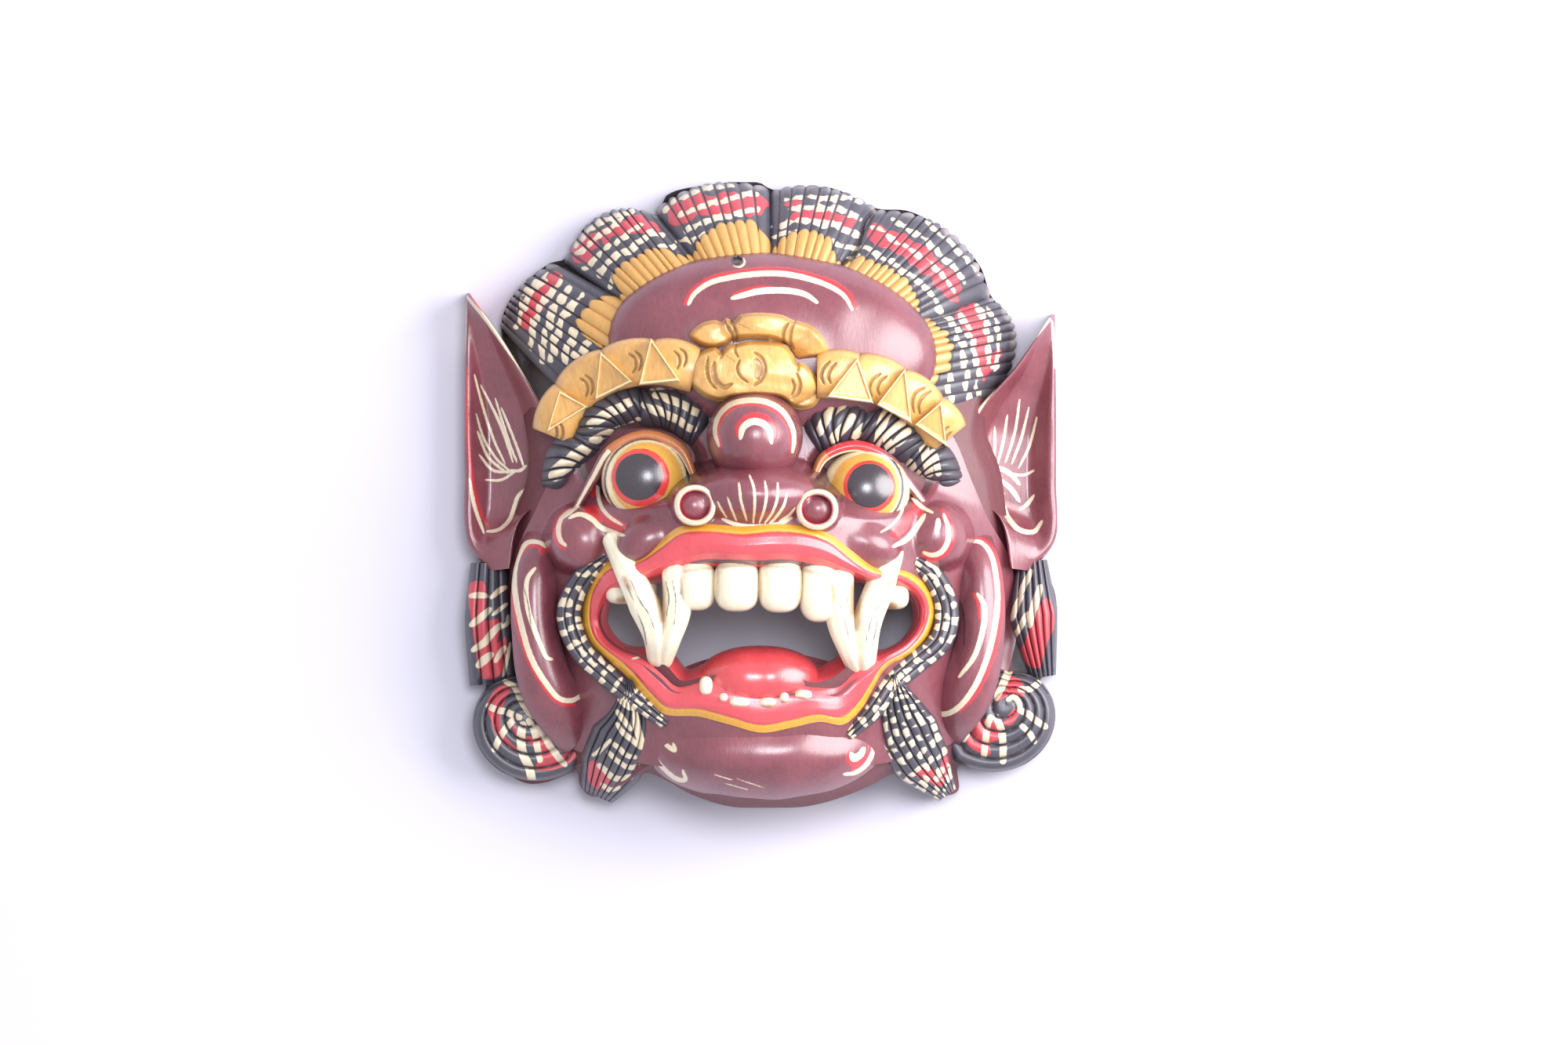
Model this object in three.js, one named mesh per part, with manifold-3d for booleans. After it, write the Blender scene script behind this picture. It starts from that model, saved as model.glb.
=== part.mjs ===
// A carved wooden demon mask: a crown of fluted hair locks, a gold diadem, round eyes, an open mouth with
// tusks, and pointed ears. It is one block of wood, hollowed from behind, and lies on its flat back rim.
//
// Frame: millimetres, +Z out of the face, +Y towards the crown, +X towards the viewer's right.
// The origin is the middle of the flat back rim.
//
// Every carved form is a closed solid between a shaped top and a floor below the back plane. The forms are
// joined, the back is cut flat and hollowed, the mouth is cut through, and the teeth and tusks go in last.

import * as THREE from "three";
import { mergeVertices } from "three/addons/utils/BufferGeometryUtils.js";
import Module from "manifold-3d";

const wasm = await Module();
wasm.setup();

// Driving sizes of the mask
const WIDTH = 226;
const HEIGHT = 238;
const FLOOR = -4; // forms start below the back plane, and are cut flat at 0
const FAR = 130; // above everything
const FLUTE = 1.2; // depth of a carved hair groove

// The domed head, and the muzzle that stands out of it
const DOME = { x: 0, y: -4, rx: 100, ry: 118, rim: 13, top: 56, power: 0.7 };
const MUZZLE = { y: -12, top: 84, sideFall: 0.0078, browFall: 0.06, chinFall: 0.0028, blend: 8 };
const HEAD_MIDDLE = [0, -10];

// The space behind the face. A square under 1 fills the corners of its outline.
const HOLLOW = { x: 0, y: -9, rx: 79, ry: 87, depth: 47, square: 0.72, power: 0.55, floor: -10, under: 1 };

// The locks of the crown run between these heights over the back plane, and bulge between them.
const CROWN_EDGE = 14;
const CROWN_ROOT = 42;
const CROWN_BELLY = 4;
const CROWN_SIDE_DROP = 5; // a lock's two sides, under its middle
const CROWN_GOLD = { rise: 1.6, step: 0.04 }; // the gold over the hair, and the share that the step takes
const CROWN_GROUND = { under: 4, pull: 0.5, y: 18 }; // the wood below the locks, drawn towards (0, y)

const TWIST = { sag: 7, depth: 1.4, smooth: 2 }; // the locks of the brows
const MOUSTACHE = { halfWidth: [2.5, 4, 4, 4, 4, 3.5, 2], sag: 2.5, flutes: 2, along: 9 };
const CURL = { turns: 3, columns: 18, growing: 0.62, swell: 1.3, groove: 2, fall: 8 };
const LID = { halfWidth: [1.5, 2, 2, 2, 1.5], sag: 1.2, smooth: 2 };
const EAR_TIP_DROP = 3;

// The lips' height over the head from their outer edge to the opening, and the share of their width cut first
const LIP_PROFILE = [1, 4.5, 4, -4, -14];
const LIP_SEAT = 0.12;
const LIP_STEPS = 40;
const MOUTH_FLOOR = 20;

const TOOTH = { sink: 6, rz: 8, square: 0.7, floor: 62 };
const LOWER_TOOTH = { z: 70, rz: 5, around: 6, down: 2, floor: 50 };
const MOLAR = { rx: 5.5, ry: 5.5, rz: 7, around: 8, down: 2, floor: 45 };
const NAIL_HOLE = { x: -9.5, y: 89, radius: 1.7 };

// ---------------------------------------------------------------- solids

// The shared vertices of a geometry and its triangles, without those that collapsed at a pole or a tip.
function welded(geometry) {
  const bare = geometry.clone();
  bare.deleteAttribute("normal");
  bare.deleteAttribute("uv");
  const merged = mergeVertices(bare, 1e-3);
  const index = merged.index.array;
  const faces = [];
  for (let i = 0; i < index.length; i += 3) {
    const [a, b, c] = [index[i], index[i + 1], index[i + 2]];
    if (a !== b && b !== c && c !== a) faces.push([a, b, c]);
  }
  return { positions: merged.attributes.position.array, faces };
}

// A closed geometry as a manifold-3d solid.
function solidOf(geometry) {
  const { positions, faces } = welded(geometry);
  const mesh = { numProp: 3, vertProperties: positions, triVerts: new Uint32Array(faces.flat()) };
  return new wasm.Manifold(new wasm.Mesh(mesh));
}

function geometryOf(solid) {
  const mesh = solid.getMesh();
  const points = new Float32Array(mesh.numVert * 3);
  for (let i = 0; i < mesh.numVert; i++) {
    for (let k = 0; k < 3; k++) points[3 * i + k] = mesh.vertProperties[mesh.numProp * i + k];
  }
  const geometry = new THREE.BufferGeometry();
  geometry.setAttribute("position", new THREE.BufferAttribute(points, 3));
  geometry.setIndex(new THREE.BufferAttribute(mesh.triVerts, 1));
  geometry.computeVertexNormals();
  return geometry;
}

const joined = (solids) => solids.reduce((whole, next) => whole.add(next));

// A closed solid between a shaped top and a flat floor. The top is a grid of columns by rows, and top(u, v)
// gives its points [x, y, z] with u and v from 0 to 1. A ring closes on itself along u.
function sheet(columns, rows, top, { ring = false, floor = FLOOR } = {}) {
  const grid = new THREE.PlaneGeometry(1, 1, columns, rows);
  const points = [];
  for (let j = 0; j <= rows; j++) {
    for (let i = 0; i <= columns; i++) {
      const around = ring ? i % columns : i;
      points.push(...top(around / columns, j / rows));
    }
  }
  grid.setAttribute("position", new THREE.Float32BufferAttribute(points, 3));
  return standing(grid, floor);
}

// The solid under an open surface: the surface, a wall down from each of its borders, and a flat floor.
function standing(surface, floor) {
  const { positions, faces } = welded(surface);
  const flat = (k) => new THREE.Vector2(positions[3 * k], positions[3 * k + 1]);
  const area = faces.reduce((sum, [a, b, c]) => sum + flat(b).sub(flat(a)).cross(flat(c).sub(flat(a))), 0);
  const facingUp = area > 0 ? faces : faces.map(([a, b, c]) => [b, a, c]);
  const loops = bordersOf(facingUp);
  const size = (loop) => Math.abs(THREE.ShapeUtils.area(loop.map(flat)));
  loops.sort((a, b) => size(b) - size(a));
  const points = [...positions];
  const under = new Map();
  for (const k of loops.flat()) {
    under.set(k, points.length / 3);
    points.push(positions[3 * k], positions[3 * k + 1], floor);
  }
  const all = [...facingUp];
  for (const loop of loops) {
    loop.forEach((a, n) => {
      const b = loop[(n + 1) % loop.length];
      all.push([b, a, under.get(a)], [b, under.get(a), under.get(b)]);
    });
  }
  const ends = loops.flat().map((k) => under.get(k));
  const [outline, ...holes] = loops.map((loop) => loop.map(flat));
  const floorFaces = THREE.ShapeUtils.triangulateShape(outline, holes);
  for (const [a, b, c] of floorFaces) all.push([ends[b], ends[a], ends[c]]);
  const geometry = new THREE.BufferGeometry();
  geometry.setAttribute("position", new THREE.Float32BufferAttribute(points, 3));
  geometry.setIndex(all.flat());
  return solidOf(geometry);
}

// The vertex loops along the open borders of a list of triangles.
function bordersOf(faces) {
  const next = new Map();
  const key = (a, b) => a * 1e6 + b;
  const edges = new Set(faces.flatMap(([a, b, c]) => [key(a, b), key(b, c), key(c, a)]));
  for (const [a, b, c] of faces) {
    for (const [from, to] of [[a, b], [b, c], [c, a]]) if (!edges.has(key(to, from))) next.set(from, to);
  }
  const loops = [];
  while (next.size) {
    const loop = [];
    for (let k = next.keys().next().value; next.has(k); ) {
      loop.push(k);
      const to = next.get(k);
      next.delete(k);
      k = to;
    }
    loops.push(loop);
  }
  return loops;
}

function ellipsoid({ x, y, z, rx, ry, rz, turn = 0, around = 16, down = 10 }) {
  const geometry = new THREE.SphereGeometry(1, around, down);
  geometry.rotateX(Math.PI / 2).scale(rx, ry, rz).rotateZ(turn).translate(x, y, z);
  return solidOf(geometry);
}

// A rounded form that stands on straight sides: half an ellipsoid on a plug of its own outline.
function mound({ x, y, z, rx, ry, rz, turn = 0, square = 1, around = 12, down = 3, floor = FLOOR }) {
  return sheet(
    around,
    down,
    (u, v) => {
      const angle = 2 * Math.PI * u;
      const reach = Math.sin((Math.PI / 2) * v);
      const p = new THREE.Vector2(full(Math.cos(angle), square), full(Math.sin(angle), square));
      p.multiply(new THREE.Vector2(rx * reach, ry * reach));
      p.rotateAround(new THREE.Vector2(0, 0), turn);
      return [x + p.x, y + p.y, z + rz * Math.cos((Math.PI / 2) * v)];
    },
    { ring: true, floor },
  );
}

// A round tooth or tusk: a tube along a curve, with a radius at each point. Each end is rounded by two more
// rings, a shoulder and a tip, given by their share of the radius and how far past the end they stand.
const SHOULDER = { share: 0.75, push: 0.5 };
const TIP = { share: 0.02, push: 0.75 };

function tusk(points, radii, { sides = 6, steps = 4 } = {}) {
  const spine = new THREE.CatmullRomCurve3(points.map((p) => new THREE.Vector3(...p)));
  const frames = spine.computeFrenetFrames(steps, false);
  const rings = [[0, TIP.share], [0, SHOULDER.share]];
  for (let k = 0; k <= steps; k++) rings.push([k, 1]);
  rings.push([steps, SHOULDER.share], [steps, TIP.share]);
  const push = [-TIP.push, -SHOULDER.push, ...Array(steps + 1).fill(0), SHOULDER.push, TIP.push];
  const positions = [];
  rings.forEach(([k, share], n) => {
    const radius = between(radii, k / steps);
    const centre = spine.getPointAt(k / steps).addScaledVector(frames.tangents[k], push[n] * radius);
    for (let s = 0; s < sides; s++) {
      const angle = (2 * Math.PI * s) / sides;
      const p = centre.clone();
      p.addScaledVector(frames.normals[k], Math.cos(angle) * radius * share);
      p.addScaledVector(frames.binormals[k], Math.sin(angle) * radius * share);
      positions.push(p.x, p.y, p.z);
    }
  });
  const faces = [];
  for (let n = 0; n + 1 < rings.length; n++) {
    for (let s = 0; s < sides; s++) {
      const [a, b] = [n * sides + s, n * sides + ((s + 1) % sides)];
      faces.push(a, b, b + sides, a, b + sides, a + sides);
    }
  }
  const last = (rings.length - 1) * sides;
  for (let s = 1; s + 1 < sides; s++) faces.push(0, s + 1, s, last, last + s, last + s + 1);
  const geometry = new THREE.BufferGeometry();
  geometry.setAttribute("position", new THREE.BufferAttribute(new Float32Array(positions), 3));
  geometry.setIndex(faces);
  return solidOf(geometry);
}

// ---------------------------------------------------------------- small maths

const lerp = THREE.MathUtils.lerp;
const full = (n, power) => Math.sign(n) * Math.abs(n) ** power; // a power under 1 fills an oval's corners
const ripple = (turns) => Math.abs(Math.sin(Math.PI * turns)); // 0 in a groove, 1 on a ridge

// The value at u along a list of values spread evenly from 0 to 1.
function between(values, u) {
  const place = Math.min(Math.max(u, 0), 1) * (values.length - 1);
  const low = Math.min(Math.floor(place), values.length - 2);
  return lerp(values[low], values[low + 1], place - low);
}

function smoothMax(a, b, reach) {
  const h = Math.max(reach - Math.abs(a - b), 0) / reach;
  return Math.max(a, b) + (h * h * reach) / 4;
}

// A smooth arc from a to b that passes through m at half way.
function arc(a, m, b) {
  const [start, middle, end] = [a, m, b].map((p) => new THREE.Vector2(...p));
  const pull = middle.multiplyScalar(2).sub(start.clone().add(end).multiplyScalar(0.5));
  return new THREE.QuadraticBezierCurve(start, pull, end);
}

// ---------------------------------------------------------------- head

// Height of the plain head and muzzle, before anything is carved on them.
function headHeight(x, y) {
  const q = ((x - DOME.x) / DOME.rx) ** 2 + ((y - DOME.y) / DOME.ry) ** 2;
  const dome = DOME.rim + (DOME.top - DOME.rim) * Math.max(1 - q, 0) ** DOME.power;
  const fall = y > MUZZLE.y ? MUZZLE.browFall : MUZZLE.chinFall;
  const muzzle = MUZZLE.top - MUZZLE.sideFall * x * x - fall * (y - MUZZLE.y) ** 2;
  return smoothMax(dome, muzzle, MUZZLE.blend);
}

// Outline of the head itself, which lies inside the crown, the ears and the locks.
const HEAD_OUTLINE = new THREE.CatmullRomCurve3(
  [
    [0, 106], [42, 101], [72, 80], [84, 55], [82, 20], [86, -5], [97, -25], [99, -50], [92, -75],
    [78, -97], [62, -100], [51, -105], [38, -110], [0, -112],
    [-32, -110], [-44, -104], [-56, -98], [-69, -101], [-84, -88], [-96, -50], [-97, -25], [-86, -5],
    [-84, 20], [-86, 48], [-76, 76], [-42, 100],
  ].map(([x, y]) => new THREE.Vector3(x, y, 0)),
  true,
);

function head() {
  return sheet(
    26,
    4,
    (u, v) => {
      const edge = HEAD_OUTLINE.getPoint(u);
      const x = lerp(HEAD_MIDDLE[0], edge.x, v);
      const y = lerp(HEAD_MIDDLE[1], edge.y, v);
      return [x, y, headHeight(x, y)];
    },
    { ring: true },
  );
}

// The space behind the face: a dome that is open at the back.
function hollow() {
  return sheet(
    20,
    4,
    (u, v) => {
      const angle = 2 * Math.PI * u;
      const x = HOLLOW.x + HOLLOW.rx * v * full(Math.cos(angle), HOLLOW.square);
      const y = HOLLOW.y + HOLLOW.ry * v * full(Math.sin(angle), HOLLOW.square);
      return [x, y, HOLLOW.depth * Math.max(1 - v ** 3, 0) ** HOLLOW.power - HOLLOW.under];
    },
    { ring: true, floor: HOLLOW.floor },
  );
}

// ---------------------------------------------------------------- hair

// A ribbon of carved hair or skin along a spine of [x, y, z] points, z being the height of its middle line.
// Flutes run along it, or across it where lean is given, as in a twisted lock.
function ribbon(form) {
  const { spine, halfWidth, sag = 5, flutes = 0, depth = FLUTE } = form;
  const { lean = null, along = 5, smooth = 3, blunt = false } = form;
  const curve = new THREE.CatmullRomCurve3(spine.map((p) => new THREE.Vector3(...p)));
  const twisted = lean !== null;
  const columns = twisted ? 2 * flutes : along;
  const rows = flutes && !twisted ? 2 * flutes : smooth;
  return sheet(columns, rows, (u, v) => {
    const t = 2 * v - 1;
    const slant = lean * t * (1 - (2 * u - 1) ** 4);
    const shifted = THREE.MathUtils.clamp(u + slant, 0, 1);
    const p = curve.getPoint(shifted);
    const way = curve.getTangent(shifted);
    const side = new THREE.Vector2(-way.y, way.x).normalize();
    const half = between(halfWidth, shifted);
    const groove = depth * (flutes ? ripple(twisted ? flutes * u : flutes * v) - 1 : 0);
    const endDrop = blunt ? 0 : sag * Math.abs(2 * u - 1) ** 5;
    return [p.x + side.x * half * t, p.y + side.y * half * t, p.z - sag * t * t - endDrop + groove];
  });
}

// A shell-shaped lock of the crown between an inner and an outer arc. The gold at its root stands a little
// higher than the hair, and ends at the given share of the way out.
function shell({ inner, outer, flutes, gold }) {
  const [inside, outside] = [arc(...inner), arc(...outer)];
  const rows = [0, gold, gold + CROWN_GOLD.step, 1];
  return sheet(2 * flutes, rows.length - 1, (u, v) => {
    const w = rows[Math.round(v * (rows.length - 1))];
    const [a, b] = [inside.getPoint(u), outside.getPoint(u)];
    const round = CROWN_BELLY * Math.sin(Math.PI * w);
    const sideDrop = CROWN_SIDE_DROP * Math.abs(2 * u - 1) ** 4;
    const groove = FLUTE * (ripple(flutes * u) - 1);
    const raised = w > gold ? 0 : CROWN_GOLD.rise;
    const z = lerp(CROWN_ROOT, CROWN_EDGE, w) + round - sideDrop + groove + raised;
    return [lerp(a.x, b.x, w), lerp(a.y, b.y, w), z];
  });
}

const CROWN = [
  {
    inner: [[-82, 33], [-68, 56], [-53, 75]],
    outer: [[-100, 64], [-94, 78], [-80, 89]],
    flutes: 9,
    gold: 0.36,
  },
  {
    inner: [[-53, 74], [-39, 85], [-22, 91]],
    outer: [[-76, 89], [-60, 108], [-38, 106]],
    flutes: 9,
    gold: 0.4,
  },
  {
    inner: [[-25, 90], [-11, 93], [4, 92]],
    outer: [[-41, 109], [-21, 119], [3, 117.5]],
    flutes: 8,
    gold: 0.45,
  },
  {
    inner: [[3, 92], [17, 91.5], [30, 87]],
    outer: [[3, 116], [24, 118], [45, 109]],
    flutes: 8,
    gold: 0.45,
  },
  {
    inner: [[29, 87.5], [47, 79], [60, 67]],
    outer: [[43, 109], [72, 101], [88, 75]],
    flutes: 9,
    gold: 0.4,
  },
  {
    inner: [[59, 68], [67, 52], [70, 27]],
    outer: [[87, 76], [97.5, 57], [83, 28]],
    flutes: 9,
    gold: 0.3,
  },
];

function crown() {
  return [...CROWN.map(shell), crownGround()];
}

// The plain dark wood between and below the locks, a little lower than them.
function crownGround() {
  const { under, pull, y } = CROWN_GROUND;
  const edge = [
    [-81, 12], [-85, 30], [-96, 60], [-78, 86], [-40, 104], [2, 113], [44, 106], [84, 76], [91, 55], [82, 28],
    [78, 10],
  ];
  const outer = new THREE.CatmullRomCurve3(edge.map((p) => new THREE.Vector3(...p, 0)));
  return sheet(18, 1, (u, v) => {
    const p = outer.getPoint(u);
    const share = 1 - pull * v;
    return [p.x * share, y + (p.y - y) * share, lerp(CROWN_EDGE - under, CROWN_ROOT, v)];
  });
}

const BROWS = [
  { spine: [[-79, 2, 42], [-75, 14, 45], [-65, 23, 49]], halfWidth: [5, 7, 7], flutes: 5, lean: -0.1 },
  { spine: [[-67, 19, 49], [-59, 32, 54], [-45, 36, 57]], halfWidth: [6, 8, 7.5], flutes: 5, lean: -0.1 },
  { spine: [[-47, 33, 57], [-34, 33, 60], [-22, 24, 61]], halfWidth: [7, 8, 7], flutes: 5, lean: -0.1 },
  { spine: [[18, 21, 60], [27, 27, 60], [40, 27, 58]], halfWidth: [8, 9, 8], flutes: 5, lean: 0.12 },
  { spine: [[37, 28, 58], [49, 24, 56], [60, 16, 51]], halfWidth: [7, 9, 8], flutes: 5, lean: 0.12 },
  { spine: [[57, 17, 51], [66, 12, 47], [72, 2, 42]], halfWidth: [7, 8, 6], flutes: 5, lean: 0.12 },
];

const MOUTH_HAIR = [
  [
    [-55, -21, 60], [-67, -31, 56], [-73, -45, 51], [-69, -58, 52], [-58, -69, 56], [-47, -78, 60],
    [-36, -87, 62],
  ],
  [
    [52, -22, 60], [64, -30, 57], [70, -43, 52], [68, -55, 53], [58, -64, 56], [49, -72, 60], [42, -82, 62],
    [33, -91, 62],
  ],
];

const LOCKS = [
  {
    spine: [[-104, -26, 20], [-104, -47, 23], [-102, -72, 19]],
    halfWidth: [7, 9, 10],
    sag: 4,
    flutes: 4,
    blunt: true,
  },
  {
    spine: [[103, -25, 20], [104, -46, 23], [108, -69, 19]],
    halfWidth: [6, 9.5, 4],
    sag: 4,
    flutes: 4,
    blunt: true,
  },
  {
    spine: [[-50, -70, 61], [-50, -85, 56], [-56, -100, 44], [-63, -115.5, 20]],
    halfWidth: [4.5, 8, 12.5, 12.5, 6],
    sag: 5,
    flutes: 4,
    blunt: true,
  },
  {
    spine: [[50, -68, 61], [52, -82, 57], [59, -98, 45], [71, -115, 20]],
    halfWidth: [5, 9, 12.5, 11, 3],
    sag: 5,
    flutes: 4,
    blunt: true,
  },
];

// A lock rolled up in a spiral. Its outline grows from the start to the tail, which takes most of a turn, and
// falls back over the rest, where the jowl covers it.
function curl({ x, y, start, tail, hand, z }) {
  const { turns, growing } = CURL;
  return sheet(
    CURL.columns,
    2 * turns,
    (u, v) => {
      const grown = (u / growing) ** CURL.swell;
      const reach = u < growing ? lerp(start, tail, grown) : lerp(tail, start, (u - growing) / (1 - growing));
      const r = reach * v;
      const groove = CURL.groove * (ripple(turns * v - u + 0.5) - 1) * Math.min(1, turns * v);
      const angle = Math.PI / 2 + hand * 2 * Math.PI * u;
      return [x + r * Math.cos(angle), y + r * Math.sin(angle), z - CURL.fall * v ** 2 + groove];
    },
    { ring: true },
  );
}

const CURLS = [
  { x: -91, y: -83, start: 14, tail: 29.5, hand: 1, z: 26 },
  { x: 94, y: -79.5, start: 12, tail: 30, hand: -1, z: 26 },
];

function hair() {
  const twists = BROWS.map((brow) => ribbon({ ...brow, ...TWIST }));
  const moustache = MOUTH_HAIR.map((spine) => ribbon({ spine, ...MOUSTACHE }));
  return [...twists, ...moustache, ...LOCKS.map(ribbon), ...CURLS.map(curl)];
}

// ---------------------------------------------------------------- gold work

// Half of the diadem: a band along a spine, whose upper edge is scalloped by its petals. A three-cornered
// plate stands between each two petals. A plate has its point at the upper edge.
const BAND = { half: 8.5, petal: 1.5, sag: 3.5, petals: 4, plateHalf: 0.11, plateRise: 3.4 };

function bandPoint(spine, u, t) {
  const curve = new THREE.CatmullRomCurve3(spine.map((p) => new THREE.Vector3(...p)));
  const p = curve.getPoint(u);
  const way = curve.getTangent(u);
  const side = new THREE.Vector2(-way.y, way.x).normalize().multiplyScalar(BAND.half * t);
  return new THREE.Vector3(p.x + side.x, p.y + side.y, p.z - BAND.sag * t * t);
}

function diademBand({ spine }) {
  return sheet(BAND.petals * 3, 2, (u, v) => {
    const t = 2 * v - 1;
    const petal = Math.sin(Math.PI * (u * BAND.petals - Math.floor(u * BAND.petals - 1e-9)));
    const p = bandPoint(spine, u, t > 0 ? t * (1 + 0.12 * petal) : t);
    return [p.x, p.y, p.z + BAND.petal * petal];
  });
}

function plates({ spine, points }) {
  return points.map((u) => {
    const corners = [bandPoint(spine, u, 1.02), bandPoint(spine, u - BAND.plateHalf, -0.98)];
    corners.push(bandPoint(spine, u + BAND.plateHalf, -0.98));
    for (const corner of corners) corner.z += BAND.plateRise + BAND.sag / 2;
    return standing(new THREE.BufferGeometry().setFromPoints(corners), FLOOR);
  });
}

const DIADEM = [
  {
    spine: [[-79, 22, 44], [-74, 34, 49], [-64, 44, 56], [-51, 49, 62], [-37, 50, 67], [-25, 47, 71]],
    points: [0.26, 0.51, 0.75],
  },
  {
    spine: [[21, 45, 71], [36, 45, 67], [51, 40, 61], [63, 31, 54], [71, 21, 47]],
    points: [0.25, 0.51, 0.77],
  },
];

function goldWork() {
  const arch = ribbon({
    spine: [[-25, 57, 66], [-13, 63, 70], [0, 65, 71], [14, 63, 70], [26, 56, 66]],
    halfWidth: [4, 6, 7, 6, 4],
    sag: 3,
    along: 8,
    smooth: 2,
  });
  const rosette = mound({ x: -3, y: 46, z: 60, rx: 25, ry: 12, rz: 19, around: 16 });
  const boss = mound({ x: -2, y: 47, z: 76, rx: 7, ry: 6, rz: 5, around: 8, down: 2 });
  return [...DIADEM.map(diademBand), ...DIADEM.flatMap(plates), arch, rosette, boss];
}

// ---------------------------------------------------------------- face

const EYES = [
  { x: -44, y: 6, z: 51, rx: 16.5, ry: 16, rz: 17 },
  { x: 39.5, y: 1.5, z: 51, rx: 16.5, ry: 15.5, rz: 17 },
];

const LIDS = [
  [[-72, -8, 48], [-64, 6, 52], [-57, 17, 56], [-44, 22, 58], [-31, 17, 60], [-26, 6, 62]],
  [[19, 5, 62], [24, 14, 60], [36, 18, 59], [48, 13, 57], [56, 4, 53], [64, -6, 48]],
  [[-72, -8, 48], [-63, -10, 53], [-56, -14, 57], [-47, -13, 60]],
  [[64, -6, 48], [58, -12, 53], [51, -18, 57], [41, -15, 60]],
];

const SKIN = [
  { x: 4, y: 55, z: 38, rx: 63, ry: 37, rz: 25, turn: -0.07, around: 20, down: 4 }, // brow cap
  { x: -2.5, y: 22, z: 72, rx: 18, ry: 17.5, rz: 20, around: 14, down: 4 }, // ball between the brows
  { x: -2, y: 0, z: 66, rx: 26, ry: 12, rz: 30, around: 14, down: 4 }, // nose
  { x: -25, y: -4, z: 76, rx: 9, ry: 8.5, rz: 13 }, // nose wings
  { x: 21, y: -5, z: 76, rx: 9, ry: 8.5, rz: 13 },
  { x: -43, y: -17, z: 62, rx: 12, ry: 9, rz: 13, turn: 0.5 }, // cheeks beside the nose
  { x: 38, y: -18, z: 62, rx: 15, ry: 9, rz: 13, turn: -0.3 },
  { x: -68, y: -17, z: 46, rx: 12, ry: 13, rz: 14 }, // outer cheeks
  { x: 66, y: -16, z: 46, rx: 12, ry: 13, rz: 14 },
  { x: 1, y: -89, z: 36, rx: 50, ry: 30, rz: 35, around: 20, down: 4 }, // chin
];

const JOWLS = [
  {
    spine: [[-83, -12, 34], [-90, -30, 42], [-91, -52, 44], [-84, -74, 42], [-66, -92, 34]],
    halfWidth: [8, 11, 12, 13, 12],
    sag: 9,
  },
  {
    spine: [[80, -12, 34], [87, -30, 42], [88, -52, 44], [80, -74, 42], [66, -88, 34]],
    halfWidth: [8, 11, 12, 13, 12],
    sag: 9,
  },
];

const NOSTRILS = [
  { x: -25, y: -4, z: 90, rx: 5.8, ry: 5.8, rz: 13, around: 8, down: 6 },
  { x: 21, y: -5, z: 90, rx: 5.8, ry: 5.8, rz: 13, around: 8, down: 6 },
];

function face() {
  const lids = LIDS.map((spine) => ribbon({ spine, ...LID }));
  return [...SKIN.map(mound), ...EYES.map(mound), ...lids, ...JOWLS.map((jowl) => ribbon(jowl))];
}

// An ear: a leaf between its outer and its inner edge, from the lobe to the tip, with a bowl carved in it.
function ear({ outer, inner, rim, bowl }) {
  const [back, front] = [outer, inner].map(
    (edge) => new THREE.CatmullRomCurve3(edge.map(([x, y]) => new THREE.Vector3(x, y, 0))),
  );
  return sheet(8, 5, (u, v) => {
    const [a, b] = [back.getPoint(u), front.getPoint(u)];
    const across = Math.min(1, 6 * v * (1 - v) * 0.95) ** 2;
    const along = Math.min(1, Math.max(0, (u - 0.1) * 5)) * Math.min(1, (1 - u) * 4);
    const z = lerp(rim[0], rim[1], v) - bowl * across * along;
    return [lerp(a.x, b.x, v), lerp(a.y, b.y, v), z - EAR_TIP_DROP * u];
  });
}

const EARS = [
  {
    outer: [[-104, -29], [-112, -18], [-113.5, 10], [-113.5, 45], [-113, 77]],
    inner: [[-96, -28], [-92, -10], [-80, 2], [-79, 14], [-82, 29], [-98, 58], [-111.5, 77]],
    rim: [19, 27],
    bowl: 9,
  },
  {
    outer: [[103, -29], [112, -17], [112.5, 5], [112.5, 38], [112, 69]],
    inner: [[95, -28], [90, -8], [75, 2], [74, 13], [78, 27], [97, 49], [110.5, 69]],
    rim: [19, 27],
    bowl: 9,
  },
];

// ---------------------------------------------------------------- mouth

// The lips run between an outer and an inner loop, point by point.
const LIPS = [
  [[-59, -26], [-57, -40]], [[-66, -35], [-58, -44]], [[-68, -46], [-58.5, -48]], [[-66, -55], [-56, -53]],
  [[-59, -62], [-51, -57]], [[-51, -69], [-42, -58]], [[-44, -77], [-33, -61]], [[-37, -83], [-28, -66]],
  [[-24, -84], [-22, -64]], [[-12, -87], [-12, -61]], [[0, -90], [0, -60]], [[12, -88], [11, -61.5]],
  [[22, -86], [19, -66]], [[31, -87], [26, -63]], [[38, -81], [31, -60]], [[42, -74], [40, -59]],
  [[47, -66], [47, -58.5]], [[57, -60], [53, -55]], [[64, -52], [57, -49]], [[66, -43], [57, -42]],
  [[63, -35], [54, -38]], [[55, -29], [48, -35]], [[44, -28], [40, -34]], [[34, -21], [30, -32]],
  [[26, -15], [22, -30]], [[17, -12], [13, -29]], [[5, -11], [5, -29]], [[-7, -12], [-6, -29]],
  [[-21, -11], [-18, -29]], [[-31, -12], [-27, -31]], [[-38, -17], [-36, -33]], [[-45, -22], [-45, -35]],
  [[-52, -24], [-51, -37]],
];
const LIP_LOOPS = [0, 1].map(
  (side) => new THREE.CatmullRomCurve3(LIPS.map((pair) => new THREE.Vector3(...pair[side], 0)), true),
);

// A ring or disc over the mouth. share 0 is the lips' outer edge, 1 the edge of the opening.
function mouthPoint(u, share) {
  const [a, b] = LIP_LOOPS.map((loop) => loop.getPoint(u));
  return [lerp(a.x, b.x, share), lerp(a.y, b.y, share)];
}

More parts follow.
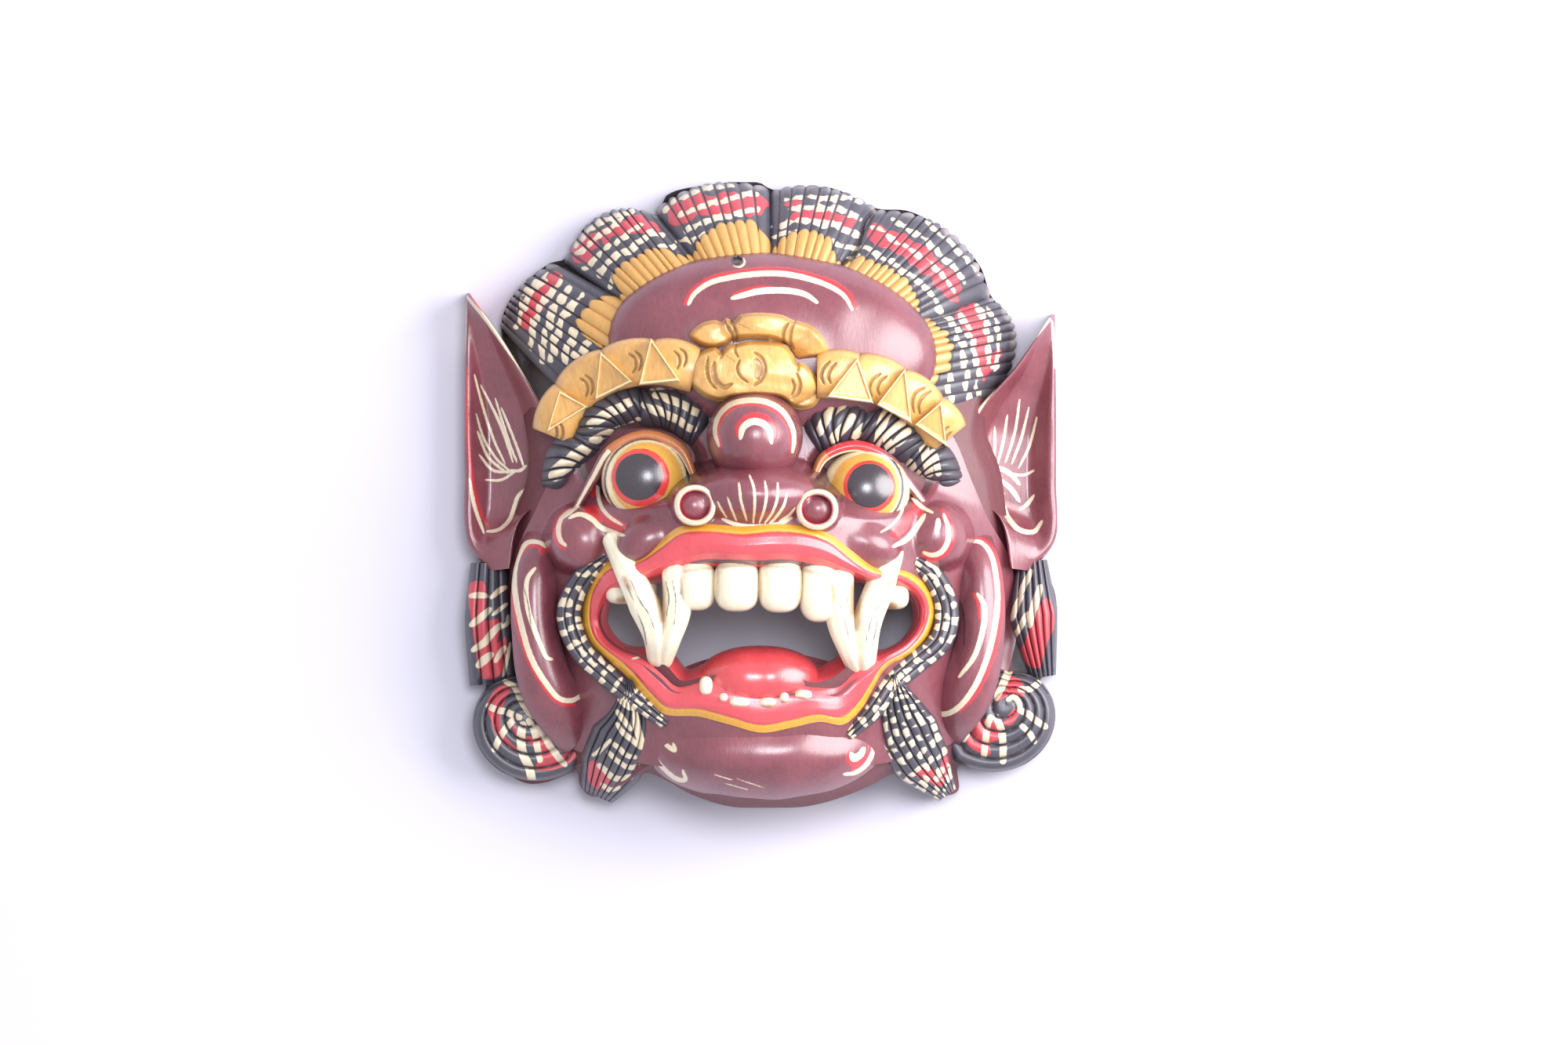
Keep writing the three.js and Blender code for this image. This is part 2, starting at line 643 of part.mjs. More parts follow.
function lips() {
  return sheet(
    LIP_STEPS,
    LIP_PROFILE.length - 1,
    (u, v) => {
      const [x, y] = mouthPoint(u, v);
      return [x, y, headHeight(...mouthPoint(u, 0)) + between(LIP_PROFILE, v)];
    },
    { ring: true },
  );
}

// A plug of the mouth's shape at the given share between the two loops.
function mouthPlug(share, low, high) {
  const outline = [];
  for (let i = 0; i < LIP_STEPS; i++) outline.push(new THREE.Vector2(...mouthPoint(i / LIP_STEPS, share)));
  const shape = new THREE.Shape(outline);
  const geometry = new THREE.ExtrudeGeometry(shape, { depth: high - low, bevelEnabled: false });
  return solidOf(geometry.translate(0, 0, low));
}

const UPPER_TEETH = [
  { x: -24.3, y: -34, half: 7.1, drop: 9.2, z: 80 },
  { x: -9.3, y: -34, half: 8.7, drop: 9.4, z: 83 },
  { x: 7, y: -34, half: 8.5, drop: 10, z: 83 },
  { x: 21.5, y: -36, half: 7.6, drop: 11.6, z: 80 },
];

const LOWER_TEETH = [
  { x: -20, y: -72, rx: 2.8, ry: 4.2 },
  { x: -14.5, y: -76, rx: 2, ry: 2 },
  { x: -8, y: -78, rx: 4.5, ry: 2.5 },
  { x: 4, y: -78, rx: 4.5, ry: 2.5 },
  { x: 15, y: -76, rx: 4, ry: 2.2 },
];

const MOLARS = [
  { x: -53, y: -36, z: 54 },
  { x: 50, y: -38, z: 54 },
];

function teeth() {
  const { sink, ...block } = TOOTH;
  const uppers = UPPER_TEETH.map(({ x, y, half, drop, z }) =>
    mound({ x, y, z: z - sink, rx: half * 1.02, ry: drop, around: 12, down: 2, ...block }),
  );
  const lowers = LOWER_TEETH.map((tooth) => mound({ ...tooth, ...LOWER_TOOTH }));
  const molars = MOLARS.map((tooth) => mound({ ...tooth, ...MOLAR }));
  return [...uppers, ...lowers, ...molars];
}

// Each side has an outer tusk that rises past the upper lip, and an inner fang.
const TUSKS = [
  {
    spine: [[-57, -17, 60], [-51, -28, 68], [-44, -42, 72], [-40, -52, 70], [-39, -62, 60]],
    radii: [3, 4.2, 5.5, 4.8, 4],
  },
  { spine: [[-32, -30, 74], [-32, -44, 74], [-34.5, -54, 70], [-37, -63, 60]], radii: [5, 5, 4, 3] },
  {
    spine: [[51, -21, 60], [45, -35, 68], [40, -48, 72], [39, -58, 68], [39, -65, 60]],
    radii: [3, 4.8, 5, 4.4, 4],
  },
  { spine: [[29, -32, 74], [30, -48, 74], [33, -58, 70], [36, -66, 60]], radii: [5.5, 4.8, 3.8, 3] },
];

function tusks() {
  return TUSKS.map(({ spine, radii }) => tusk(spine, radii));
}

function tongue() {
  return mound({ x: -1.5, y: -70, z: 58, rx: 21.5, ry: 11.5, rz: 15, around: 16, floor: 40 });
}

// ---------------------------------------------------------------- the mask

// The hole that the mask is hung by, drilled through the root of the crown.
function nailHole() {
  const { x, y, radius } = NAIL_HOLE;
  const geometry = new THREE.CylinderGeometry(radius, radius, 2 * FAR, 8);
  return solidOf(geometry.rotateX(Math.PI / 2).translate(x, y, 0));
}

function maskSolid() {
  const below = new THREE.BoxGeometry(2 * WIDTH, 2 * HEIGHT, 40).translate(0, 0, -20);
  const mass = joined([head(), ...face(), ...hair(), ...crown(), ...goldWork(), ...EARS.map(ear)]);
  const withLips = mass.subtract(mouthPlug(LIP_SEAT, MOUTH_FLOOR, FAR)).add(lips());
  const open = withLips.subtract(mouthPlug(1, 3 * FLOOR, FAR));
  const carved = joined([open, tongue(), ...teeth(), ...tusks()]);
  const cut = carved.subtract(hollow()).subtract(solidOf(below)).subtract(nailHole());
  return NOSTRILS.reduce((solid, nostril) => solid.subtract(ellipsoid(nostril)), cut);
}

const paint = new THREE.MeshStandardMaterial({ color: 0x7a3540, roughness: 0.5, metalness: 0 });
const mesh = new THREE.Mesh(geometryOf(maskSolid()), paint);
mesh.name = "mask";

const mask = new THREE.Group();
mask.add(mesh);
export default mask;
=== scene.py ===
import math
import bpy
import numpy as np
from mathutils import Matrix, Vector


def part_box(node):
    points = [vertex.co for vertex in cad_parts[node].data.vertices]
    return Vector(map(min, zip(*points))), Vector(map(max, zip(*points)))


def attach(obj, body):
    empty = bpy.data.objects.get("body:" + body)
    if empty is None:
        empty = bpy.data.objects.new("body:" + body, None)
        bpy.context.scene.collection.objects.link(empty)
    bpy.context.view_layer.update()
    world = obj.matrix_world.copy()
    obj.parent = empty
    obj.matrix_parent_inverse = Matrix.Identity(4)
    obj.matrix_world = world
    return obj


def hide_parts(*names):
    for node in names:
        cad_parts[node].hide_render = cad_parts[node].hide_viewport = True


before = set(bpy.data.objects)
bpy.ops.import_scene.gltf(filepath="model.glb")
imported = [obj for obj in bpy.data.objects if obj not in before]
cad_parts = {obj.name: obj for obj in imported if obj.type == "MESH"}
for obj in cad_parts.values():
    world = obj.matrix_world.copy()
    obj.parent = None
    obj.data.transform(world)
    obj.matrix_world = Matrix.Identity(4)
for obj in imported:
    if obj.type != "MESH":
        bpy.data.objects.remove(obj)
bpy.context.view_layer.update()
corner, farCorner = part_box("mask")

# Everything below is laid out in millimetres of a mask 238.8 mm tall, from the middle of its flat back.
mm = (farCorner[1] - corner[1]) / 238.785
origin = np.array([corner[0] + 113.64 * mm, corner[1] + 119.0 * mm, corner[2]])

# Lines, areas and small maths


def lerp(a, b, share):
    return a + (b - a) * share


def clamp(values, low=0.0, high=1.0):
    return np.clip(values, low, high)


def easeIn(values, start, end):  # 0 at start, 1 at end, smooth between
    share = clamp((values - start) / (end - start))
    return share * share * (3 - 2 * share)


def spread(values, share):  # the value at a share of the way along a short list
    return np.interp(share, np.linspace(0, 1, len(values)), values)


def corners(angles, power):  # cosine and sine of an oval whose corners are filled
    return [np.sign(n) * np.abs(n) ** power for n in (np.cos(angles), np.sin(angles))]


def smoothMax(a, b, reach):
    near = np.maximum(reach - np.abs(a - b), 0) / reach
    return np.maximum(a, b) + near * near * reach / 4


def smoothLine(points, share, closed=False):  # a curve through the points, at shares from 0 to 1
    spots = np.array(points, float)
    count = len(spots)
    share = np.asarray(share, float)
    if closed:
        place = (share % 1) * count
        step = np.floor(place).astype(int)
        four = [spots[(step + k) % count] for k in (-1, 0, 1, 2)]
    else:
        place = clamp(share) * (count - 1)
        step = np.minimum(np.floor(place).astype(int), count - 2)
        longer = np.vstack([2 * spots[0] - spots[1], spots, 2 * spots[-1] - spots[-2]])
        four = [longer[step + k] for k in range(4)]
    p0, p1, p2, p3 = four
    t = (place - step)[..., None]
    g0, g1, g2 = [np.maximum(np.linalg.norm(b - a, axis=-1, keepdims=True), 1e-4) ** 0.5
                  for a, b in ((p0, p1), (p1, p2), (p2, p3))]
    m1 = ((p1 - p0) / g0 - (p2 - p0) / (g0 + g1) + (p2 - p1) / g1) * g1
    m2 = ((p2 - p1) / g1 - (p3 - p1) / (g1 + g2) + (p3 - p2) / g2) * g1
    return (p1 + m1 * t + (3 * (p2 - p1) - 2 * m1 - m2) * t**2 + (2 * (p1 - p2) + m1 + m2) * t**3)


def arcLine(points, share):  # an arc from the first point to the last, through the middle one half way
    a, m, b = [np.array(p, float) for p in points]
    pull = 2 * m - (a + b) / 2
    s = np.asarray(share)[..., None]
    return a * (1 - s) ** 2 + 2 * pull * s * (1 - s) + b * s**2


def awayFromLine(x, y, line, halves=0.0,
                 reach=7.0):  # distance to a line of points, less its half width there
    field = np.full(x.shape, reach)
    near = (x > line[:, 0].min() - reach) & (x < line[:, 0].max() + reach)
    near &= (y > line[:, 1].min() - reach) & (y < line[:, 1].max() + reach)
    if not near.any():
        return field
    px, py = x[near][:, None], y[near][:, None]
    ax, ay = line[:-1, 0], line[:-1, 1]
    bx, by = line[1:, 0] - ax, line[1:, 1] - ay
    along = clamp(((px - ax) * bx + (py - ay) * by) / np.maximum(bx * bx + by * by, 1e-9))
    gap = np.hypot(px - ax - along * bx, py - ay - along * by)
    halves = np.broadcast_to(np.asarray(halves, float), (len(line),))
    gap = gap - (halves[:-1] + (halves[1:] - halves[:-1]) * along)
    field[near] = np.minimum(gap.min(axis=1), reach)
    return field


def strokes(x, y, lines, width=2.0, tip=0.45):  # brush strokes, thinner at both ends; negative inside
    field = np.full(x.shape, 7.0)
    for line in lines:
        wide = width
        if isinstance(line[0], (int, float)):
            wide, line = line[0], line[1:]
        share = np.linspace(0, 1, max(8, 5 * len(line)))
        halves = wide / 2 * (tip + (1 - tip) * np.sin(np.pi * share) ** 0.5)
        field = np.minimum(field, awayFromLine(x, y, smoothLine(line, share), halves))
    return field


def area(x, y, outline, smooth=True):  # distance to an area's edge; negative inside
    line = smoothLine(outline, np.linspace(0, 1, 8 * len(outline) + 1), closed=True) if smooth else None
    if line is None:
        line = np.array(list(outline) + [outline[0]], float)
    field = awayFromLine(x, y, line)
    box = (x > line[:, 0].min()) & (x < line[:, 0].max()) & (y > line[:, 1].min()) & (y < line[:, 1].max())
    if box.any():
        px, py = x[box][:, None], y[box][:, None]
        ax, ay, bx, by = line[:-1, 0], line[:-1, 1], line[1:, 0], line[1:, 1]
        crossed = ((ay > py) != (by > py)) & (px < (bx - ax) * (py - ay) / np.where(by == ay, 1e-9,
            by - ay) + ax)
        inside = crossed.sum(axis=1) % 2 == 1
        part = field[box]
        part[inside] *= -1
        field[box] = part
    return field


def areas(x, y, outlines):
    return np.minimum.reduce([area(x, y, outline) for outline in outlines])


def drawFor(name):  # seeded numbers of a piece's own
    return np.random.default_rng(sum(map(ord, name)))


# Carving

reachable = {"x": (-113.5, 112.85), "y": (-118.85, 119.65)}  # mm, just inside the box of the solid
coatsOf = {}  # the painted layers that each finish reads


def deselectAll():
    bpy.ops.object.select_all(action="DESELECT")


def rideOnMask(piece, name, finish):
    piece.name = name
    piece.data.name = name
    piece.data.materials.clear()
    piece.data.materials.append(finish)
    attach(piece, "root")
    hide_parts("mask")
    return piece


def hollowTop(x, y):  # height of the space behind the face
    h = head["hollow"]
    px, py = np.abs(x - h["x"]) / h["rx"], np.abs(y - h["y"]) / h["ry"]
    reach = np.minimum((px ** (2 / h["square"]) + py ** (2 / h["square"])) ** (h["square"] / 2), 1)
    return h["depth"] * np.maximum(1 - reach**3, 0) ** h["power"], reach


# A carved piece: a grid is added, and each of its points is moved to the place that shape(u, v) gives.
# A sheet's border drops to a floor inside the wood. A ring closes round its middle and a tube closes round
# its spine, with an underside that stays in the wood over the hollow. A band closes both ways, and a pipe is
# round with two tips.
def carved(name, columns, rows, shape, finish, floor=3.0, kind="sheet", crease=48, under=6):
    wide = columns + 2 if kind == "sheet" else columns
    tall = rows + {"sheet": 2, "ring": under + 1, "tube": under + 2, "band": 0, "pipe": 0}[kind]
    deselectAll()
    bpy.ops.mesh.primitive_grid_add(x_subdivisions=wide, y_subdivisions=tall, size=2, location=(0, 0, 0))
    piece = bpy.context.object
    mesh = piece.data
    spots = np.empty(len(mesh.vertices) * 3)
    mesh.vertices.foreach_get("co", spots)
    i = np.rint((spots[0::3] + 1) / 2 * wide)
    j = np.rint((spots[1::3] + 1) / 2 * tall)
    lower = np.zeros(len(i), bool)
    if kind == "sheet":
        u, v = clamp((i - 1) / columns), clamp((j - 1) / rows)
        lower = (i == 0) | (i == wide) | (j == 0) | (j == tall)
    elif kind in ("ring", "tube"):
        u = i / columns if kind == "tube" else (i % columns) / columns
        j = j % tall if kind == "tube" else j
        lower = j > rows
        v = np.where(lower, 1 - (j - rows - 1) / under, j / rows)
    else:
        u, v = (i % columns) / columns, (j % rows) / rows if kind == "band" else j / rows
    x, y, z, paint = shape(u, v)
    x, y = clamp(x, *reachable["x"]), clamp(y, *reachable["y"])
    if kind in ("sheet", "ring", "tube"):
        roof = hollowTop(x, y)[0]
        z = np.where(lower, floor if kind == "sheet" else np.maximum(floor, roof + 2),
                     np.maximum(z, roof + 3))
    places = np.stack([x, y, z], axis=1) * mm + origin
    mesh.vertices.foreach_set("co", places.ravel())
    empty = {layer: 5.0 for layer in coatsOf[finish.name]}
    for layer, values in {**empty, "dirtAndShade": 0.0, "crest": 0.0, **paint}.items():
        field = mesh.attributes.new(layer, "FLOAT", "POINT")
        field.data.foreach_set("value", np.broadcast_to(values, x.shape).astype(np.float32))
    bpy.ops.object.mode_set(mode="EDIT")
    bpy.ops.mesh.select_all(action="SELECT")
    bpy.ops.mesh.remove_doubles(threshold=2e-6)
    if kind in ("sheet", "tube"):
        bpy.ops.mesh.fill_holes(sides=0)
        bpy.ops.mesh.select_all(action="SELECT")
    bpy.ops.mesh.normals_make_consistent(inside=False)
    bpy.ops.object.mode_set(mode="OBJECT")
    bpy.ops.object.shade_smooth_by_angle(angle=math.radians(crease))
    return rideOnMask(piece, name, finish)


# Places over a disc from a square grid, evenly spaced: shares of the half widths in x and y.
def disc(u, v):
    a, b = 2 * u - 1, 2 * v - 1
    return a * np.sqrt(1 - b * b / 2), b * np.sqrt(1 - a * a / 2)


# A rounded form that stands on straight sides: half an ellipsoid on a plug of its own outline.
def mound(name, form, cell, finish, paint, floor=3.0, extra=None):
    around = form.get("around", 0)
    columns, rows = [max(8, round(2 * form[k] / cell)) for k in ("rx", "ry")]
    if around:
        columns, rows = around, round(form["rx"] / cell)

    def shape(u, v):
        if around:
            reach, angle = np.sin(v * np.pi / 2), 2 * np.pi * u
        else:
            a, b = disc(u, v)
            reach, angle = clamp(np.hypot(a, b)), np.arctan2(b, a)
        c, s = corners(angle, form.get("square", 1))
        px, py = form["rx"] * reach * c, form["ry"] * reach * s
        turn = form.get("turn", 0)
        x = form["x"] + px * math.cos(turn) - py * math.sin(turn)
        y = form["y"] + px * math.sin(turn) + py * math.cos(turn)
        z = form["z"] + form["rz"] * np.sqrt(1 - reach**2)
        if extra:
            z = z + extra(x, y, reach, angle)
        return x, y, z, paint(x, y, reach, angle)

    return carved(name, columns, rows, shape, finish, floor, kind="ring" if around else "sheet", under=10)


def alongSpine(spine, u, halfWidth, t):  # places beside a spine: u along it, t from -1 to 1 across it
    p = smoothLine(spine, u)
    ahead = smoothLine(spine, clamp(u + 0.004)) - smoothLine(spine, clamp(u - 0.004))
    size = np.maximum(np.hypot(ahead[..., 0], ahead[..., 1]), 1e-9)
    half = spread(halfWidth, u) * t
    return p[..., 0] - ahead[..., 1] / size * half, p[..., 1] + ahead[..., 0] / size * half, p[..., 2]

# Finishes


def tone(red, green, blue):  # a colour as the eye reads it, from 0 to 255, as light
    parts = [((c / 255 + 0.055) / 1.055) ** 2.4 if c > 10 else c / 255 / 12.92 for c in (red, green, blue)]
    return (*parts, 1.0)


class Wire:  # a socket that can be added, multiplied and compared
    def __init__(self, finish, socket):
        self.finish, self.socket = finish, socket

    def maths(self, operation, other, clip=False):
        settings = {"operation": operation, "use_clamp": clip}
        return self.finish.node("ShaderNodeMath", settings, {0: self, 1: other})

    def __add__(self, other):
        return self.maths("ADD", other)

    def __mul__(self, other):
        return self.maths("MULTIPLY", other)

    def __sub__(self, other):
        return self.maths("SUBTRACT", other)

    __radd__ = __add__

    def most(self, other):
        return self.maths("MAXIMUM", other)

    def inside(self, blur):  # 1 where the value is below 0, 0 above, over a short blur
        return (self * (-0.5 / blur)).maths("ADD", 0.5, clip=True)

    def over(self, low, high):  # 0 below low, 1 above high
        return ((self - low) * (1 / (high - low))).maths("ADD", 0.0, clip=True)


class Finish:
    def __init__(self, name):
        self.material = bpy.data.materials.new(name)
        self.material.use_nodes = True
        self.tree = self.material.node_tree
        self.shader = self.tree.nodes["Principled BSDF"]
        self.place = self.node("ShaderNodeTexCoord", {}, {}, "Object")

    def node(self, kind, settings, values, output=0):
        made = self.tree.nodes.new(kind)
        for key, value in settings.items():
            setattr(made, key, value)
        for key, value in values.items():
            self.feed(made.inputs[key], value)
        return Wire(self, made.outputs[output])

    def feed(self, socket, value):
        if isinstance(value, Wire):
            self.tree.links.new(value.socket, socket)
        else:
            socket.default_value = value

    def read(self, layer):
        return self.node("ShaderNodeAttribute", {"attribute_name": layer}, {}, "Fac")

    def blend(self, under, upper, share):
        return self.node("ShaderNodeMix", {"data_type": "RGBA"}, {0: share, 6: under, 7: upper}, 2)

    def noise(self, size, detail=2.0, rough=0.5, stretch=(1, 1, 1)):  # size of its marks in mm
        scaled = self.node("ShaderNodeMapping", {}, {"Vector": self.place,
            "Scale": [1 / (s * size * mm) for s in stretch]})
        values = {"Vector": scaled, "Scale": 1.0, "Detail": detail, "Roughness": rough}
        return self.node("ShaderNodeTexNoise", {}, values, "Fac")

    def bump(self, height, depth, under=None):  # height from 0 to 1, and its depth in mm
        values = {"Height": height, "Distance": depth * mm, "Strength": 1.0}
        if under:
            values["Normal"] = under
        return self.node("ShaderNodeBump", {}, values, "Normal")


# Brushed paint on carved wood. Each coat is an attribute, its colour, its edge blur in mm and its cover.
def paintedWood(name, ground, coats=(), gloss=0.38, mottle=0.25, grain=0.05, coat=0.0, dirtAndShadeStrength=0.6, wearAndHighlight=None):
    finish = Finish(name)
    coatsOf[name] = [layer for layer, *_ in coats]
    cloud = finish.noise(14, 3, 0.6)
    brush = finish.noise(1.1, 3, 0.6, (1, 5, 1))
    speck = finish.noise(0.45, 2, 0.5)
    wobble = (finish.noise(1.6, 2, 0.6) - 0.5) * 0.9 + (speck - 0.5) * 0.35
    shade = cloud * mottle + brush * (mottle * 0.7)
    darker = [c * (1 - mottle) for c in ground[:3]] + [1]
    paler = [min(1, c * (1 + 1.1 * mottle) + 0.012) for c in ground[:3]] + [1]
    colour = finish.blend(darker, paler, shade.over(mottle * 0.45, mottle * 1.25))
    thick = None
    for layer, paint, blur, cover in coats:
        mask = (finish.read(layer) + wobble * min(1.0, 3 * blur)).inside(blur)
        thick = mask if thick is None else thick.most(mask)
        uneven = [c * 0.86 for c in paint[:3]] + [1]
        painted = finish.blend(uneven, paint, brush.over(0.3, 0.7))
        colour = finish.blend(colour, painted, mask * cover)
    # Dirt and painted shade: the colour darkens towards dark grey-brown in grooves, creases, hollows and
    # round the feet of pieces, by the attribute read here.
    dirtAndShade = finish.read("dirtAndShade")
    creviceDirtAndShade = (dirtAndShade * (0.6 + cloud * 0.8)).over(0.15, 1.0) * dirtAndShadeStrength
    colour = finish.blend(colour, tone(70, 58, 64), creviceDirtAndShade)
    # Wear on raised places, read from the crest value; on the gold finish its pale gold colour is also a
    # painted highlight.
    if wearAndHighlight:
        wornAndHighlit = (finish.read("crest") + (speck - 0.5) * 0.9 + (cloud - 0.5) * 0.8).over(*wearAndHighlight[:2])
        colour = finish.blend(colour, wearAndHighlight[2], wornAndHighlit * wearAndHighlight[3])
    finish.feed(finish.shader.inputs["Base Color"], colour)
    rough = gloss + (cloud - 0.5) * 0.16 + (speck - 0.5) * 0.10 + creviceDirtAndShade * 0.2
    finish.feed(finish.shader.inputs["Roughness"], rough)
    height = brush * 0.6 + speck * 0.4
    normal = finish.bump(height, grain * 2.2)
    if thick is not None:
        normal = finish.bump(thick, 0.10, normal)
    finish.feed(finish.shader.inputs["Normal"], normal)
    finish.shader.inputs["Specular IOR Level"].default_value = 0.85
    finish.shader.inputs["Coat Weight"].default_value = coat
    finish.shader.inputs["Coat Roughness"].default_value = 0.22
    return finish.material


cream, scarlet = tone(232, 216, 186), tone(204, 62, 72)
maroon, black, gold = tone(120, 58, 68), tone(62, 60, 70), tone(205, 155, 84)
lipRed, rimYellow = tone(214, 72, 80), tone(226, 166, 52)

# On the skin, the socket coat is dark brown in the eye hollows: real paint and painted shade.
skinFinish = paintedWood("skinPaint", maroon, [
    ("socket", tone(64, 36, 38), 0.5, 0.85), ("red", tone(206, 48, 56), 0.35, 0.9),
    ("orange", tone(196, 118, 66), 0.25, 0.9), ("cream", cream, 0.14, 0.97),
    ("dark", tone(42, 36, 42), 0.2, 0.9)], gloss=0.3, coat=0.35, wearAndHighlight=(1.05, 1.5, tone(176, 130, 104), 0.8))
hairFinish = paintedWood("hairPaint", black, [
    ("red", scarlet, 0.16, 0.92), ("gold", gold, 0.16, 0.97), ("cream", cream, 0.14, 0.95)],
    gloss=0.42, mottle=0.3, coat=0.12, dirtAndShadeStrength=0.6, wearAndHighlight=(0.9, 1.5, tone(168, 160, 158), 0.65))
# Gold: the pale gold on its crests is wear and a painted highlight.
goldFinish = paintedWood("goldPaint", gold, [
    # the pale gold coat is a painted highlight on the plates' raised rims
    ("rimHighlight", tone(250, 226, 170), 0.3, 0.6), ("cream", tone(245, 236, 206), 0.14, 0.9),
    ("dark", tone(96, 52, 24), 0.14, 0.8)],
    gloss=0.32, mottle=0.32, grain=0.1, coat=0.3, dirtAndShadeStrength=0.5, wearAndHighlight=(0.75, 1.35, tone(250, 228, 176), 0.7))
lipFinish = paintedWood("lipPaint", lipRed, [
    ("yellow", rimYellow, 0.2, 0.97), ("dark", tone(64, 54, 62), 0.16, 0.9), ("cream", cream, 0.14, 0.95)],
    gloss=0.3, mottle=0.16, coat=0.4, dirtAndShadeStrength=0.55)
tongueFinish = paintedWood("tonguePaint", tone(198, 62, 68), [], gloss=0.26, mottle=0.16, coat=0.5,
                           dirtAndShadeStrength=0.4)
toothFinish = paintedWood("toothPaint", tone(236, 226, 198), [
    ("stain", tone(150, 98, 40), 0.9, 0.75), ("dark", tone(78, 74, 78), 0.1, 0.8)],
    gloss=0.36, mottle=0.14, coat=0.2, dirtAndShadeStrength=0.5)
eyeFinish = paintedWood("eyePaint", tone(238, 220, 178), [
    ("line", tone(56, 52, 60), 0.16, 0.92), ("yellow", rimYellow, 0.35, 0.9),
    ("red", tone(222, 50, 56), 0.2, 0.95),
    ("pupil", tone(40, 42, 50), 0.14, 0.98)], gloss=0.26, mottle=0.12, coat=0.6, dirtAndShadeStrength=0.2)
woodFinish = paintedWood("plainWood", tone(150, 112, 78), [
    ("black", tone(48, 44, 50), 0.6, 0.96), ("maroon", tone(104, 42, 50), 0.5, 0.95)],
    gloss=0.55, mottle=0.35, grain=0.12, dirtAndShadeStrength=0.7)

# The block

head = {
    "dome": {"x": 0, "y": -4, "rx": 100, "ry": 118, "rim": 13, "top": 56},
    "muzzle": {"y": -12, "top": 84, "side": 0.0078, "brow": 0.06, "chin": 0.0028},
    "hollow": {"x": 0, "y": -9, "rx": 79, "ry": 87, "depth": 47, "square": 0.72, "power": 0.55},
}
lipPairs = [
    [[-59, -26], [-57, -40]], [[-66, -35], [-58, -44]], [[-68, -46], [-58.5, -48]],
    [[-66, -55], [-56, -53]],
    [[-59, -62], [-51, -57]], [[-51, -69], [-42, -58]], [[-44, -77], [-33, -61]], [[-37, -83], [-28, -66]],
    [[-24, -84], [-22, -64]], [[-12, -87], [-12, -61]], [[0, -90], [0, -60]], [[12, -88], [11, -61.5]],
    [[22, -86], [19, -66]], [[31, -87], [26, -63]], [[38, -81], [31, -60]], [[42, -74], [40, -59]],
    [[47, -66], [47, -58.5]], [[57, -60], [53, -55]], [[64, -52], [57, -49]], [[66, -43], [57, -42]],
    [[63, -35], [54, -38]], [[55, -29], [48, -35]], [[44, -28], [40, -34]], [[34, -21], [30, -32]],
    [[26, -15], [22, -30]], [[17, -12], [13, -29]], [[5, -11], [5, -29]], [[-7, -12], [-6, -29]],
    [[-21, -11], [-18, -29]], [[-31, -12], [-27, -31]], [[-38, -17], [-36, -33]], [[-45, -22], [-45, -35]],
    [[-52, -24], [-51, -37]],
]


def headHeight(x, y):
    d, m = head["dome"], head["muzzle"]
    q = ((x - d["x"]) / d["rx"]) ** 2 + ((y - d["y"]) / d["ry"]) ** 2
    dome = d["rim"] + (d["top"] - d["rim"]) * np.maximum(1 - q, 0) ** 0.7
    fall = np.where(y > m["y"], m["brow"], m["chin"])
    return smoothMax(dome, m["top"] - m["side"] * x * x - fall * (y - m["y"]) ** 2, 8)


def mouthPoint(u, share):  # share 0 is the lips' outer edge, 1 the edge of the opening
    a = smoothLine([pair[0] for pair in lipPairs], u, closed=True)
    b = smoothLine([pair[1] for pair in lipPairs], u, closed=True)
    share = np.broadcast_to(share, np.shape(u))[..., None]
    p = a * (1 - share) + b * share
    return p[..., 0], p[..., 1]


blockOutline = [(-81.5, 88.3), (-74.8, 90.5), (-68, 101.8), (-54.4, 109), (-40, 106.6), (-36.4, 114.5),
                (-19.9, 118.6), (-1.1, 119.5), (4, 116.8), (26.6, 117.4), (43.9, 109.6), (56.5, 108.5),
                (72.1, 99.5), (83.5, 87.5), (87.8, 76), (94.6, 68), (95, 57.4), (87.1, 39.4), (85.3, 25.9),
                (91, 9.4), (96.1, -17.6), (104, -24.8), (110, -31.9), (112.6, -40), (112.3, -50.5),
                (110.8, -68), (106.3, -70.6), (109.6, -80.5), (109, -89.5), (105.1, -97), (98, -100),
                (85.3, -104), (75.1, -103.3), (75.1, -113), (68.5, -114.8), (56.5, -108.8), (50.5, -106.3),
                (41.5, -110.5), (31, -114.8), (17.6, -118.3), (2.5, -118.9), (-12.4, -118.3),
                (-27.4, -113.5), (-36.4, -108.5), (-43.9, -105.8), (-49.6, -109.3), (-57.4, -114.1),
                (-65.8, -114.8), (-69.5, -110.5), (-70.3, -105.8), (-81.5, -109.6), (-89.8, -110.2),
                (-99.5, -104.5), (-106, -95.5), (-108.5, -82), (-105.5, -72.1), (-110.5, -69.8),
                (-111.5, -53.5), (-111.5, -38.5), (-109.6, -27.8), (-102.5, -22.1), (-95, -8.5), (-89, 9.4),
                (-91, 30.4), (-95.8, 48.4), (-99.5, 64), (-96.5, 74)]
middle = (0.0, -47.0)  # the block's rings run round the mouth
ringShares = np.linspace(0, 1, 1600, endpoint=False)


def ringRadius(line, angles):  # how far a closed line lies from the middle, at each angle
    turned = np.arctan2(line[:, 1] - middle[1], line[:, 0] - middle[0])
    order = np.argsort(turned)
    far = np.hypot(line[:, 0] - middle[0], line[:, 1] - middle[1])
    return np.interp(angles, turned[order], far[order], period=2 * np.pi)


def noiseField(x, y, size, seed):  # smooth seeded unevenness, about -1 to 1
    draw = np.random.default_rng(seed)
    total = 0
    for _ in range(7):
        turn, phase, stretch = draw.uniform(0, 6.3), draw.uniform(0, 6.3), draw.uniform(0.6, 1.5)
        total = total + np.sin((x * math.cos(turn) + y * math.sin(turn)) * 6.3 / (size * stretch) + phase)
    return total / 3.2


